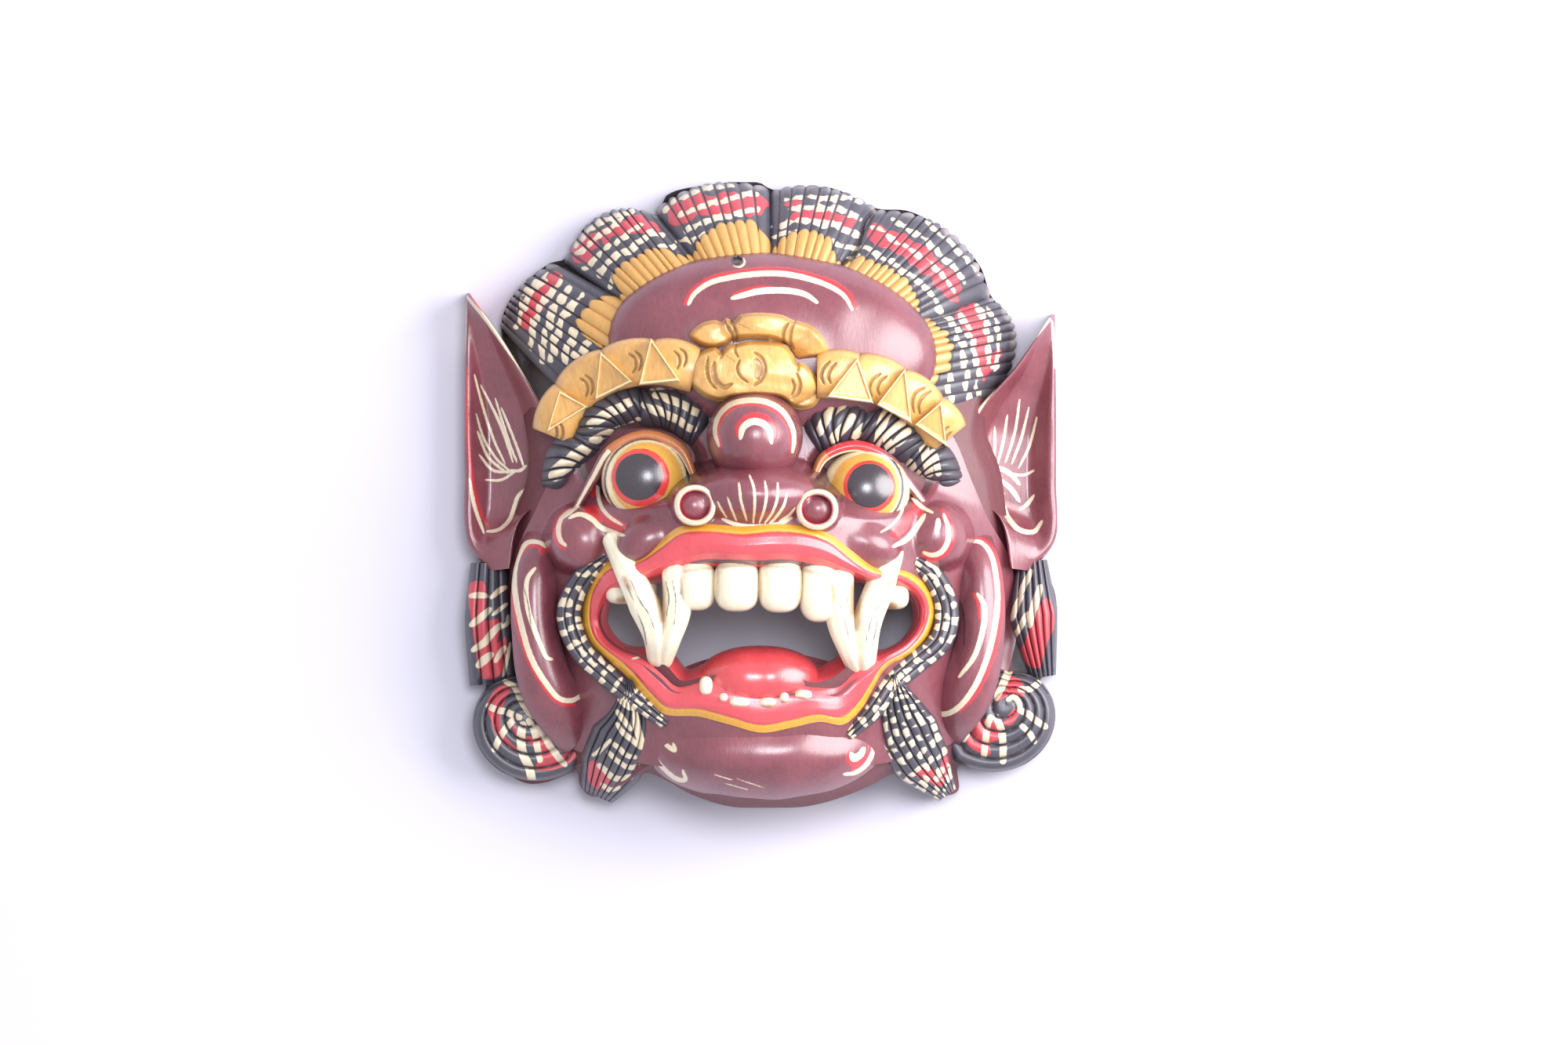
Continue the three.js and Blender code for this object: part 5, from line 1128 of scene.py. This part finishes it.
# A lock of straight strands along a spine.
def strandLock(name, form):
    flutes = form["flutes"]

    def shape(u, v):
        t = 2 * v - 1
        x, y, z = alongSpine(form["spine"], u, form["halfWidth"], t)
        phase = flutes * v
        strand = np.minimum(np.floor(phase), flutes - 1).astype(int)
        crest = np.abs(np.sin(np.pi * phase)) ** 0.5
        z = z - form["sag"] * t**2 + form.get("depth", 1.9) * (crest - 1) - 2.5 * np.abs(t) ** 10
        z = z - (0 if form.get("blunt") else form["sag"] * np.abs(2 * u - 1) ** 5)
        z = z - 3 * easeIn(u, 0.93, 1.0) ** 2 * bool(form.get("blunt"))
        width = spread(form["halfWidth"], u) * 2 / flutes
        draw = drawFor(name)
        shift = draw.uniform(-0.35, 0.35, (flutes, 2))
        sx, sy = x + shift[strand, 0], y + shift[strand, 1]
        gap = np.abs(phase - strand - 0.5)
        cream = np.full(x.shape, 5.0)
        if form.get("rows"):
            cream = np.maximum(strokes(sx, sy, form["rows"], tip=0.8), (gap - 0.4) * width)
        if form.get("dashes"):  # evenly spaced dabs along every strand
            every, part, wide = form["dashes"]
            length = np.hypot(*np.diff(smoothLine(form["spine"], np.linspace(0, 1, 80))[:, :2],
                                       axis=0).T).sum()
            along = u * length / every + draw.uniform(0, 1, flutes)[strand]
            dab = np.floor(along).astype(int)
            size = 0.5 * part * draw.uniform(0.35, 1.4, 200)[(dab + 17 * strand) % 200]
            off = draw.uniform(-0.22, 0.22, 200)[(dab + 31 * strand) % 200]
            dabs = np.maximum((np.abs(along - dab - 0.5 - off) - size) * every, (gap - wide) * width)
            dabs = dabs + 0.5 * noiseField(x, y, 6, 41)
            cream = np.minimum(cream, dabs)
        if form.get("lights"):
            cream = np.minimum(cream, strokes(x, y, form["lights"], tip=0.6))
        red = np.full(x.shape, 5.0)
        if form.get("red"):
            red = np.maximum(areas(x, y, form["red"]), (gap - 0.46) * width)
        # dirt and painted shade in the grooves and along the lock's edges
        return x, y, z, {"cream": cream, "red": red, "dirtAndShade": (1 - crest) * 1.0 + easeIn(np.abs(t), 0.92,
            1) * 0.4,
                         "crest": crest * 0.3 + easeIn(np.abs(t), 0.75, 0.95) * 0.6}

    return carved(name, form.get("cells", 110), flutes * 18, shape, hairFinish, kind="tube")


strandLocks = {
    "sideLockLeft": {"spine": [[-104, -26, 20], [-104.3, -47, 23], [-102, -72, 19]],
                     "halfWidth": [7, 9, 9.5], "sag": 4, "flutes": 4,
        "blunt": True, "red": [[(-111.5, -34), (-106, -33.1), (-104.8, -40), (-106, -47.5), (-100, -47.5),
                                (-99.5, -50.5), (-100.6, -56.5), (-97.6, -54.1), (-98.2, -65.5),
                                (-101.2, -69.8), (-106.6, -69.8), (-109, -59.5), (-110.2, -50.5)]],
        "lights": [[2.4, (-111.1, -38.5), (-107.8, -38.2), (-104.8, -38.5)],
                   [2.8, (-110.8, -49.6), (-107.2, -46.9), (-103.6, -43.6)],
                   [2.2, (-103, -39.1), (-99.5, -36.1), (-97.6, -35.2)],
        [1.6, (-102.5, -45.8), (-99.5, -43.4), (-97, -41.5)],
        [2.8, (-110.2, -59.2), (-106, -56.5), (-102.5, -52.4), (-99.5, -49.4)],
        [1.6, (-100.6, -51.1), (-97, -49), (-96.5, -46)],
        [3.2, (-108.1, -65.2), (-106, -63.1), (-103, -60.8)],
        [2.2, (-101.5, -63.4), (-99.5, -60.1), (-98, -58)],
        [1.4, (-98.5, -69.1), (-97, -62.5), (-95.8, -56.5)]]},
    "sideLockRight": {"spine": [[103, -25, 20], [104, -46, 23], [107.5, -69.5, 19]],
                      "halfWidth": [6, 9.5, 5], "sag": 4, "flutes": 6,
        "blunt": True, "red": [[(97, -61), (100, -57.1), (102.1, -50.5), (105.1, -44.5), (108.1, -39.1),
                                (110.8, -41.5), (111.5, -50.5), (108.8, -56.5), (107.5, -61.9),
                                (105.8, -66.1), (101.5, -65)]],
        "lights": [[2.4, (98.5, -37.9), (100.3, -34), (102.8, -28.9)],
                   [2.4, (95.5, -47.5), (97.3, -42.1), (99.1, -38.5)],
                   [3.0, (102.1, -49.9), (103.3, -44.5), (104.8, -39.8), (106.3, -34.9)],
        [2.4, (97.3, -52.9), (99.8, -48.1), (101.5, -45.1)],
        [2.2, (94.3, -57.1), (96.1, -54.1), (98, -51.4)], [1.4, (93.8, -50.5), (95, -47.5)]]},
    "beardLockLeft": {"spine": [[-50, -70, 61], [-50, -85, 56], [-56, -100, 44], [-63, -115, 20]],
                      "halfWidth": [1.5, 7.5, 12.5, 12, 6.5],
        "sag": 5, "flutes": 8, "blunt": True, "cells": 150,
        "red": [[(-66.5, -103), (-64.3, -101), (-61, -103), (-58.9, -106), (-57.4, -109.3), (-61, -112.3),
                 (-65.2, -110.5)]],
        "rows": [[2.0, (-56.5, -94.3), (-53.9, -96.1), (-51.4, -98.5), (-47.9, -100)],
                 [2.0, (-58, -97.6), (-56.2, -99.5), (-53.9, -101.5), (-49.6, -104), (-46.6, -103.3)],
        [2.4, (-61.6, -102.8), (-59.5, -104.5), (-56.9, -107), (-53.2, -108.1), (-49.6, -107.5)],
        [2.2, (-60.4, -110.5), (-57.4, -112.3), (-54.4, -111.8)],
        [1.6, (-64, -99.1), (-62.2, -98), (-59.8, -95.5), (-57.4, -93.1)]],
        "lights": [[2.6, (-54.8, -75.8), (-52.6, -78.5), (-49.6, -80.5), (-47.5, -80.8)],
                   [2.2, (-54.8, -82), (-52.6, -85), (-49.6, -89)],
                   [2.2, (-54.8, -86.8), (-52.6, -90.1), (-49, -93.1), (-46, -96.1)],
        [3.0, (-47.9, -82.3), (-47.2, -88), (-45.8, -93.1), (-43.6, -98)],
        [1.2, (-44.2, -97), (-41.9, -99.8)]]},
    "beardLockRight": {"spine": [[50, -68, 61], [52, -82, 57], [59, -98, 45], [71, -114.5, 20]],
                       "halfWidth": [1.5, 8.5, 12.5, 11, 4],
        "sag": 5, "flutes": 7, "blunt": True, "cells": 150, "dashes": (4.6, 0.52, 0.3),
        "red": [[(58, -105.8), (62.5, -104), (67.3, -104.5), (69.8, -99.1), (71.5, -100.3), (70.3, -106),
                 (68.5, -111.1), (63.8, -109.3)]],
        "lights": [[2.2, (49, -72.8), (51.1, -71)], [2.0, (55, -68), (57.4, -65.5)]]},
}
print("mask: the hair")
for name, form in strandLocks.items():
    strandLock(name, form)
mouthHair = {
    "mouthHairLeft": [[-55, -21, 60], [-67, -31, 56], [-73, -45, 51], [-69, -58, 52], [-58, -69, 56],
                      [-47, -78, 60], [-36, -87, 62]],
    "mouthHairRight": [[52, -22, 60], [64, -30, 57], [70, -43, 52], [68, -55, 53], [58, -64, 56],
                       [49, -72, 60], [42, -82, 62], [33, -91, 62]],
}
for name, spine in mouthHair.items():
    strandLock(name, {"spine": spine, "halfWidth": [2.5, 4.5, 5, 4.6, 4.4, 4, 2.5], "sag": 2.5, "flutes": 3,
                      "cells": 240, "depth": 1.2,
                      "dashes": (5.4, 0.5, 0.34)})

curls = {
    "curlLeft": {"x": -91, "y": -83, "start": 14, "tail": 29.5, "hand": 1, "z": 27, "turns": 5,
        "red": [[(-104.8, -81.1), (-103, -76), (-99.5, -72.8), (-95.8, -73.3), (-97.6, -78.1),
                 (-99.5, -84.1), (-98.8, -90.1), (-95, -95), (-92.2, -97.3), (-96.5, -96.1),
                 (-101.2, -91.3), (-103, -86)],
                [(-95, -86.5), (-92.2, -90.8), (-87.5, -92), (-81.5, -90.1), (-80.2, -93.8), (-77.8, -99.1),
                 (-71, -97.3), (-70, -99.1), (-74.8, -103.3), (-81.5, -105.1), (-86.2, -104.5),
                 (-84.5, -98.5), (-89.8, -93.8), (-94, -91.3)]],
        "rows": [[2.6, (-104, -80.5), (-101.2, -81.8), (-97.6, -82.6), (-94, -84.1), (-92.2, -84.8)],
                 [2.6, (-101.8, -97), (-99.5, -92), (-96.5, -87.8), (-94, -85.3)],
                 [3.4, (-87.5, -109.3), (-88.6, -104), (-91, -98.5), (-91.6, -94.6), (-91.6, -90.8),
                  (-91, -87.8)], [2.6, (-84.5, -101), (-85.6, -95.5), (-86.2, -91.3), (-87.5, -87.8),
                                  (-88.6, -86)]],
        "lights": [[2.6, (-98, -71), (-94, -73.3), (-92.2, -77), (-90.5, -80), (-88.6, -83),
                    (-86.2, -84.8)], [2.8, (-86.5, -88), (-83.2, -91.3), (-80.2, -96.1), (-77.2, -100.3),
                                      (-74.8, -103)],
                   [2.8, (-80, -83), (-77.2, -87.8), (-73, -93.1), (-68, -98.5)]]},
    "curlRight": {"x": 94, "y": -79.5, "start": 12, "tail": 30, "hand": -1, "z": 27, "turns": 5,
        "red": [[(89, -74.5), (91.3, -72.1), (95.5, -69.1), (99.8, -72.1), (99.8, -77), (95.5, -75.8),
                 (92, -77.5), (89, -78.8)], [(93.1, -85), (97, -81.1), (98, -83), (95, -87.8), (92, -87.1)],
                [(80.5, -86), (85.3, -85.3), (90.8, -88.3), (91.3, -92.5), (87.1, -95), (87.1, -99.1),
                 (82.3, -98), (78.1, -94.3)]],
        "rows": [[2.6, (77, -93.1), (79.3, -89), (81.8, -84.1), (84.1, -80.5)],
                 [2.6, (84.8, -99.1), (85.3, -94), (86, -88), (87.1, -84.8)],
                 [2.8, (92, -101.5), (92, -95.5), (91.3, -89.5), (89.5, -84.8)],
                 [2.6, (98.5, -82), (101.5, -83.5), (104.5, -86), (108.1, -88.3)],
                 [2.2, (99.1, -88), (102.1, -90.8), (104, -94)],
                 [2.4, (98.5, -74), (102.1, -74), (105.8, -71.5)]],
        "lights": [[3.0, (89.5, -77.5), (92, -72.1), (94.3, -67.3), (96.1, -65)],
                   [2.4, (93.8, -78.1), (96.1, -77), (98, -79.3), (98.5, -82.3)]]},
}


def curlShape(name, form, u, v):
    growing, turns = 0.62, form["turns"]
    reach = np.where(u < growing, lerp(form["start"], form["tail"],
                                       (np.minimum(u, growing) / growing) ** 1.3),
                     lerp(form["tail"], form["start"], (np.maximum(u, growing) - growing) / (1 - growing)))
    r = reach * v
    phase = turns * v - u + 0.5
    crest = np.abs(np.sin(np.pi * phase)) ** 0.6
    angle = np.pi / 2 + form["hand"] * 2 * np.pi * u
    x, y = form["x"] + r * np.cos(angle), form["y"] + r * np.sin(angle)
    z = form["z"] - 7 * v**2 + 2.0 * (crest - 1) * np.minimum(1, 3 * v) - 3 * easeIn(v, 0.93, 1) ** 2
    gap = np.abs(phase - np.floor(phase) - 0.5) - 0.4
    cream = np.maximum(strokes(x, y, form["rows"], tip=0.9), gap * reach / turns)
    cream = np.minimum(cream, strokes(x, y, form["lights"], tip=0.6))
    red = np.maximum(areas(x, y, form["red"]), (gap - 0.05) * reach / turns)
    # dirt and painted shade in the grooves of the curl
    return x, y, z, {"cream": cream, "red": red, "dirtAndShade": (1 - crest) * np.minimum(1, 4 * v),
                     "crest": crest * 0.3 + easeIn(v, 0.88, 0.97) * 0.6}


for name, form in curls.items():
    carved(name, 360, 84, lambda u, v, n=name, f=form: curlShape(n, f, u, v), hairFinish, kind="ring")

# The mouth

print("mask: the mouth")
lipGum = [(-32.9, -29.5), (-28.6, -27.1), (-22.9, -25.3), (-12.4, -25.3), (-1.9, -25.6), (8.5, -25.3),
          (17.6, -26.6), (25.1, -28.9), (34, -33.8), (38.5, -36.1)]


def lipShape(u, v):  # rim, roll, inner wall and a back that closes it
    share = spread([0.0, 0.10, 0.24, 0.42, 0.60, 0.78, 0.90, 0.98, 1.0, 1.0, 0.86, 0.5, 0.12, 0.0], v)
    rise = spread([0.5, 2.6, 4.4, 5.0, 4.0, 0.5, -5.0, -11.0, -16, -20, -21, -18, -12, -6.0], v)
    x, y = mouthPoint(u, share)
    rimX, rimY = mouthPoint(u, 0.0)
    z = headHeight(rimX, rimY) + rise
    front = v < 0.6
    fromRim = np.hypot(x - rimX, y - rimY)
    width = np.hypot(*(np.array(mouthPoint(u, 1.0)) - np.array([rimX, rimY])))
    yellow = np.where(front, fromRim - np.minimum(2.9, width * 0.28), 4)
    gum = strokes(x, y, [[1.6] + lipGum])
    z = z + 0.7 * easeIn(fromRim, 2.6, 3.6) * easeIn(fromRim, 14, 8) * front
    groove = np.exp(-((fromRim - np.minimum(2.9, width * 0.28)) / 0.5) ** 2) * front
    z = np.where(v > 0.4, np.maximum(z, hollowTop(x, y)[0] + 1.5), z)
    # dirt and painted shade down the inner wall and in the rim groove
    return x, y, z - 0.35 * groove, {"yellow": yellow, "dark": np.where(y > -38, gum, 4),
                                     "dirtAndShade": easeIn(v, 0.45, 0.75) * 0.55 + 0.3 * groove,
                                     "cream": np.where(front,
                                         strokes(x, y, [[1.0, (-49, -62.2), (-45.4, -61)]]), 4)}


carved("lips", 620, 90, lipShape, lipFinish, kind="band")

upperTeeth = [
    {"x": -24.6, "y": -34, "rx": 7.6, "ry": 9.8, "z": 73, "rz": 9, "square": 0.74},
    {"x": -9.3, "y": -34, "rx": 8.9, "ry": 10.2, "z": 76, "rz": 9, "square": 0.74},
    {"x": 7, "y": -34, "rx": 8.7, "ry": 10.6, "z": 76, "rz": 9, "square": 0.74},
    {"x": 21.8, "y": -36, "rx": 7.9, "ry": 12.2, "z": 73, "rz": 9, "square": 0.76},
]
toothStains = [
    [1.0, (-31, -31.9), (-30.1, -38.5), (-31, -43)], [1.1, (-16.6, -28.3), (-16.6, -34), (-16.9, -40.9)],
    [1.2, (-0.8, -28.9), (-0.4, -35.5), (-0.8, -41.5)],
    [1.3, (15.1, -29.5), (14.8, -35.5), (13.9, -42.1)], [2.4, (25.3, -31.9), (27.1, -36.1), (27.1, -40.9)],
    [0.7, (-28.9, -28.9), (-12.4, -27.1), (5.5, -27.1), (22.1, -29.8)],
]


def toothPaint(stains):
    def paint(x, y, reach, angle):
        # dirt and painted shade round the tooth's foot
        return {"stain": strokes(x, y, stains), "dirtAndShade": easeIn(reach, 0.9, 1.0) * 0.8}
    return paint


for n, tooth in enumerate(upperTeeth):
    mound(f"upperTooth{n + 1}", tooth, 0.32, toothFinish, toothPaint(toothStains), floor=60)
for n, (px, py, rx, ry) in enumerate([(-21, -72.2, 2.6, 3.6), (-14.3, -76.6, 1.8, 1.8),
                                      (-8.2, -78.4, 4.4, 2.1), (2.5, -78.6, 3.8, 2.2),
                                      (8.6, -76.8, 2.0, 2.4), (15.8, -75.6, 3.4, 1.9)]):
    mound(f"lowerTooth{n + 1}", {"x": px, "y": py, "z": 70, "rx": rx, "ry": ry, "rz": 4.8, "square": 0.85},
          0.25, toothFinish,
          toothPaint([[1.6, (-19.9, -76), (-13.9, -79.6), (-7, -81.1), (1.1, -80.5), (8.5, -78.5),
                       (16.1, -77)]]), floor=50)
for n, (px, py, rx, ry) in enumerate([(-53, -36.5, 6.2, 5), (-44.5, -35.5, 5, 5.5), (50, -38, 6, 5.5),
                                      (44, -37, 5, 5.5)]):
    mound(f"molar{n + 1}", {"x": px, "y": py, "z": 54, "rx": rx, "ry": ry, "rz": 7, "square": 0.7}, 0.3,
          toothFinish,
          toothPaint([[2.4, (-54.4, -40), (-49.6, -39.1)], [3.4, (46, -42.4), (50.5, -42.1)]]), floor=44)


# A round tooth along a curve, with a radius at each point and rounded ends.
def tusk(name, spine, radii, marks):
    sides, rings = 56, 110

    def shape(u, v):
        angle = 2 * np.pi * u
        along = clamp((v - 0.06) / 0.88)
        cap = np.where(v < 0.06, (0.06 - v) / 0.06, np.where(v > 0.94, (v - 0.94) / 0.06, 0))
        p = smoothLine(spine, along)
        ahead = smoothLine(spine, clamp(along + 0.01)) - smoothLine(spine, clamp(along - 0.01))
        ahead = ahead / np.linalg.norm(ahead, axis=1, keepdims=True)
        sideways = np.cross(ahead, [0, 0, 1.0])
        sideways = sideways / np.linalg.norm(sideways, axis=1, keepdims=True)
        upward = np.cross(sideways, ahead)
        radius = spread(radii, along)
        push = np.where(v < 0.06, -1, 1) * np.sin(cap * np.pi / 2) * radius * 0.9
        r = radius * np.cos(cap * np.pi / 2) * (1 + 0.05 * np.cos(4 * angle) + 0.03 * np.cos(7 * angle + 1))
        q = p + ahead * push[:, None] + sideways * (r * np.cos(angle))[:,
            None] + upward * (r * np.sin(angle) * 0.85)[:, None]
        x, y, z = q.T
        front = np.sin(angle) > -0.2
        dark = np.where(front, strokes(x, y, marks["dark"], tip=0.25), 4)
        stain = strokes(x, y, marks["stain"])
        # dirt and painted shade near the tusk's last end
        return x, y, z, {"dark": dark, "stain": stain, "dirtAndShade": easeIn(along, 0.95, 1) * 0.5}

    return carved(name, sides, rings, shape, toothFinish, kind="pipe")


tusk("tuskLeft", [[-57, -17, 60], [-51, -28, 68], [-44, -42, 72], [-40, -52, 70], [-39, -62, 60]],
     [3.2, 4.6, 5.8, 5, 4],
     {"dark": [[0.7, (-49.6, -31.9), (-46, -39.8), (-41.9, -46), (-39.8, -54.1)],
               [0.6, (-47.5, -43), (-44.5, -50.5), (-43.4, -57.1)], [0.6, (-51.4, -33.1), (-47.9, -40.9)]],
      "stain": [[4.0, (-40, -31.9), (-38.5, -38.5), (-37.9, -47.5)], [2.0, (-49.6, -36.1), (-52, -31.3)]]})
tusk("fangLeft", [[-32, -30, 74], [-32, -44, 74], [-34.5, -54, 70], [-37, -63, 60]], [5.2, 5.2, 4.2, 3.2],
     {"dark": [[0.6, (-33.8, -31.9), (-32.2, -40), (-33.1, -50.5)],
               [0.6, (-36.1, -32.5), (-34.9, -39.1), (-35.9, -46)], [0.5, (-31.3, -33.1), (-30.4, -38.5)]],
      "stain": [[4.2, (-37.9, -33.1), (-37.9, -46), (-39.1, -52.9)]]})
tusk("tuskRight", [[51, -21, 60], [45, -35, 68], [40, -48, 72], [39, -58, 68], [39, -65, 60]],
     [3.2, 5.4, 5.4, 4.8, 4.2],
     {"dark": [[0.7, (47.5, -37), (42.1, -46), (39.1, -57.1)],
               [0.6, (44.5, -41.5), (43.4, -50.5), (41.2, -59.5)], [0.5, (42.1, -40), (39.8, -45.1)]],
      "stain": [[4.4, (36.1, -34), (35.5, -42.1), (35.9, -50.5)], [2.4, (50.5, -31.9), (46.9, -34.9)]]})
tusk("fangRight", [[29, -32, 74], [30, -48, 74], [33, -58, 70], [36, -66, 60]], [5.7, 5, 4, 3.2],
     {"dark": [[0.6, (29.5, -40), (31.6, -48.1), (34, -58)], [0.5, (31.6, -35.5), (33.1, -43)]],
      "stain": [[4.0, (34, -34), (33.8, -46)]]})
mound("tongue", {"x": -0.8, "y": -69.8, "z": 58, "rx": 23, "ry": 12.6, "rz": 17.5, "square": 0.92}, 0.4,
      tongueFinish,
      # dirt and painted shade round the tongue's foot
      lambda x, y, reach, angle: {"dirtAndShade": easeIn(reach, 0.93, 1) * 0.4}, floor=44,
      extra=lambda x, y, reach, angle: -0.7 * np.exp(-((x + 1) / 4) ** 2) * easeIn(y, -80, -70))

# The ears

ears = [
    {"name": "earLeft", "outer": [[-104, -29], [-112, -18], [-113.3, 10], [-113.3, 45], [-112.7, 77]],
     "inner": [[-96, -28], [-92, -10], [-80, 2], [-79, 14], [-82, 29], [-98, 58], [-111.5, 77]],
     "rim": [19, 27], "bowl": 10,
     "cream": [[1.6, (-113.2, 74.2), (-113.5, 63.4), (-113.8, 51.4)],
               [2.0, (-112.3, 75.5), (-104.8, 66.5), (-97, 55.9), (-89.8, 46), (-84.5, 36.4), (-81.5, 25.9),
                (-81.1, 16.9), (-83.2, 9.4), (-86.8, 4)],
               [1.6, (-86.8, 4), (-92.8, -0.1), (-94.6, -5), (-96.5, -9.8), (-100.6, -13.3),
                (-104.8, -13.9)], [1.4, (-111.5, 6.5), (-109.6, -4), (-106, -14.5)],
               [1.0, (-109.6, 46), (-107.2, 36.4), (-102.5, 21.4), (-98, 11.8)],
               [1.0, (-107.2, 41.9), (-99.5, 25.9), (-95, 12.4)],
               [1.0, (-101.8, 37), (-97, 21.4), (-93.5, 12.4)],
               [1.0, (-99.5, 33.4), (-93.5, 18.4), (-91, 10.9)],
               [1.0, (-109, 31), (-106, 21.4), (-101.2, 13.7), (-96.5, 9.4)],
               [1.1, (-108.5, 24.4), (-104.2, 14.2), (-97, 8.2)],
               [1.2, (-107.8, 15.4), (-102.5, 9.4), (-95, 8.8)],
               [1.1, (-105.5, 5.8), (-99.5, 5.8), (-93.5, 9.4)],
               [1.3, (-97, 9.4), (-92.2, 9.4), (-89.8, 11.2)]],
     "red": [[1.8, (-111.5, 76), (-104, 67), (-95.8, 56.5), (-88.6, 46), (-83.2, 35.9), (-80.2, 25.1)],
             [1.4, (-112.3, 48.4), (-112.3, 27.4), (-110.8, 9.4), (-107.8, -5.5), (-104.2, -12.2)]]},
    {"name": "earRight", "outer": [[103, -29], [112, -17], [112.4, 5], [112.4, 38], [112, 69]],
     "inner": [[95, -28], [90, -8], [75, 2], [74, 13], [78, 27], [97, 49], [110.5, 69]], "rim": [19, 27],
     "bowl": 10,
     "cream": [[2.2, (110, 67), (101.5, 57.4), (93.1, 46.9), (85, 36.4), (79, 25.9), (75.8, 16.1),
                (76, 7.9), (80.5, 2.9), (86, 1.1)],
               [2.0, (86, 1.1), (91.3, -2.5), (94, -8.5), (98.5, -13.3), (104, -13.9), (107, -10)],
               [1.2, (110.8, 66.5), (111.5, 57.4), (111.8, 48.4)],
               [1.1, (98.5, 36.4), (96.8, 24.4), (93.1, 12.4)],
               [1.1, (102.1, 33.4), (99.1, 21.4), (95.5, 11.8)],
               [1.1, (105.1, 29.8), (102.1, 18.4), (98, 10)],
               [1.1, (93.8, 30.4), (92.5, 21.4), (90.1, 11.8)], [1.1, (89, 25.9), (89, 18.4), (88.3, 11.2)],
               [1.2, (104, 9.4), (100, 7.6), (94, 8.2)],
               [2.0, (87.1, 9.4), (91, 10), (95.5, 7.6), (98.5, 4)],
               [2.0, (91.3, 5.8), (95.5, 1.9), (98.5, -2.5)], [1.6, (104, -0.1), (101, -4), (98.5, -5.5)]],
     "red": [[2.4, (108.8, 68), (100, 58), (91.6, 47.5), (83.5, 37), (77.5, 25.9), (74.2, 15.4), (75.1, 7)],
             [1.8, (84.1, 9.4), (86.5, 4), (92.5, 0.4)]]},
]


def earShape(ear, u, v):
    a = smoothLine(ear["outer"], u)
    b = smoothLine(ear["inner"], u)
    across = easeIn(v, 0.0, 0.3) * easeIn(v, 1.0, 0.68)
    along = easeIn(u, 0.06, 0.36) * easeIn(u, 1.0, 0.62)
    z = lerp(ear["rim"][0], ear["rim"][1], v) - ear["bowl"] * across * along - 3 * u
    z = z - 2.2 * np.abs(2 * v - 1) ** 14
    x, y = lerp(a[:, 0], b[:, 0], v), lerp(a[:, 1], b[:, 1], v)
    z = z + 0.25 * noiseField(x, y, 20, 21)
    edge = easeIn(np.abs(2 * v - 1), 0.93, 1.0)
    # dirt and painted shade in the ear's bowl
    return x, y, z, {"cream": strokes(x, y, ear["cream"]), "red": strokes(x, y, ear["red"]),
                     "dirtAndShade": across * along * 0.12, "crest": edge * 1.1}


for ear in ears:
    carved(ear["name"], 240, 96, lambda u, v, e=ear: earShape(e, u, v), skinFinish, floor=0.2)

# Floor, lights and camera

print("mask: floor, lights and camera")
deselectAll()
bpy.ops.mesh.primitive_plane_add(size=12, location=(0, 0, origin[2]))
floorPlane = bpy.context.object
floorPlane.name = "floor"
floorFinish = Finish("paleFloor")
floorFinish.shader.inputs["Base Color"].default_value = tone(206, 203, 214)
floorFinish.shader.inputs["Roughness"].default_value = 0.9
floorPlane.data.materials.append(floorFinish.material)

studio = {
    "sky": (0.92, 0.93, 1.0), "skyPower": 0.82,
    "key": {"place": (1.0, 0.28, 0.72), "size": 1.2, "power": 30.0, "tint": (1.0, 0.97, 0.98)},
    "fill": {"place": (0.12, 0.22, 1.5), "size": 0.5, "power": 12.0, "tint": (0.9, 0.92, 1.0)},
    "camera": (8.55, -10.5, 6000.0), "lens": 360.0,
}
world = bpy.data.worlds.new("studioSky")
world.use_nodes = True
world.node_tree.nodes["Background"].inputs["Color"].default_value = (*studio["sky"], 1)
world.node_tree.nodes["Background"].inputs["Strength"].default_value = studio["skyPower"]
bpy.context.scene.world = world
for name in ("key", "fill"):
    lamp = studio[name]
    light = bpy.data.lights.new(name, "AREA")
    light.shape, light.size, light.energy, light.color = "DISK", lamp["size"], lamp["power"], lamp["tint"]
    holder = bpy.data.objects.new(name, light)
    bpy.context.collection.objects.link(holder)
    holder.location = lamp["place"]
    holder.rotation_euler = (-holder.location).to_track_quat("-Z", "Y").to_euler()

lens = bpy.data.cameras.new("camera")
lens.lens, lens.sensor_width, lens.clip_end = studio["lens"], 36.0, 50.0
camera = bpy.data.objects.new("camera", lens)
bpy.context.collection.objects.link(camera)
camera.location = np.array(studio["camera"]) * mm + origin
bpy.context.scene.camera = camera
bpy.context.scene.view_settings.view_transform = "Standard"
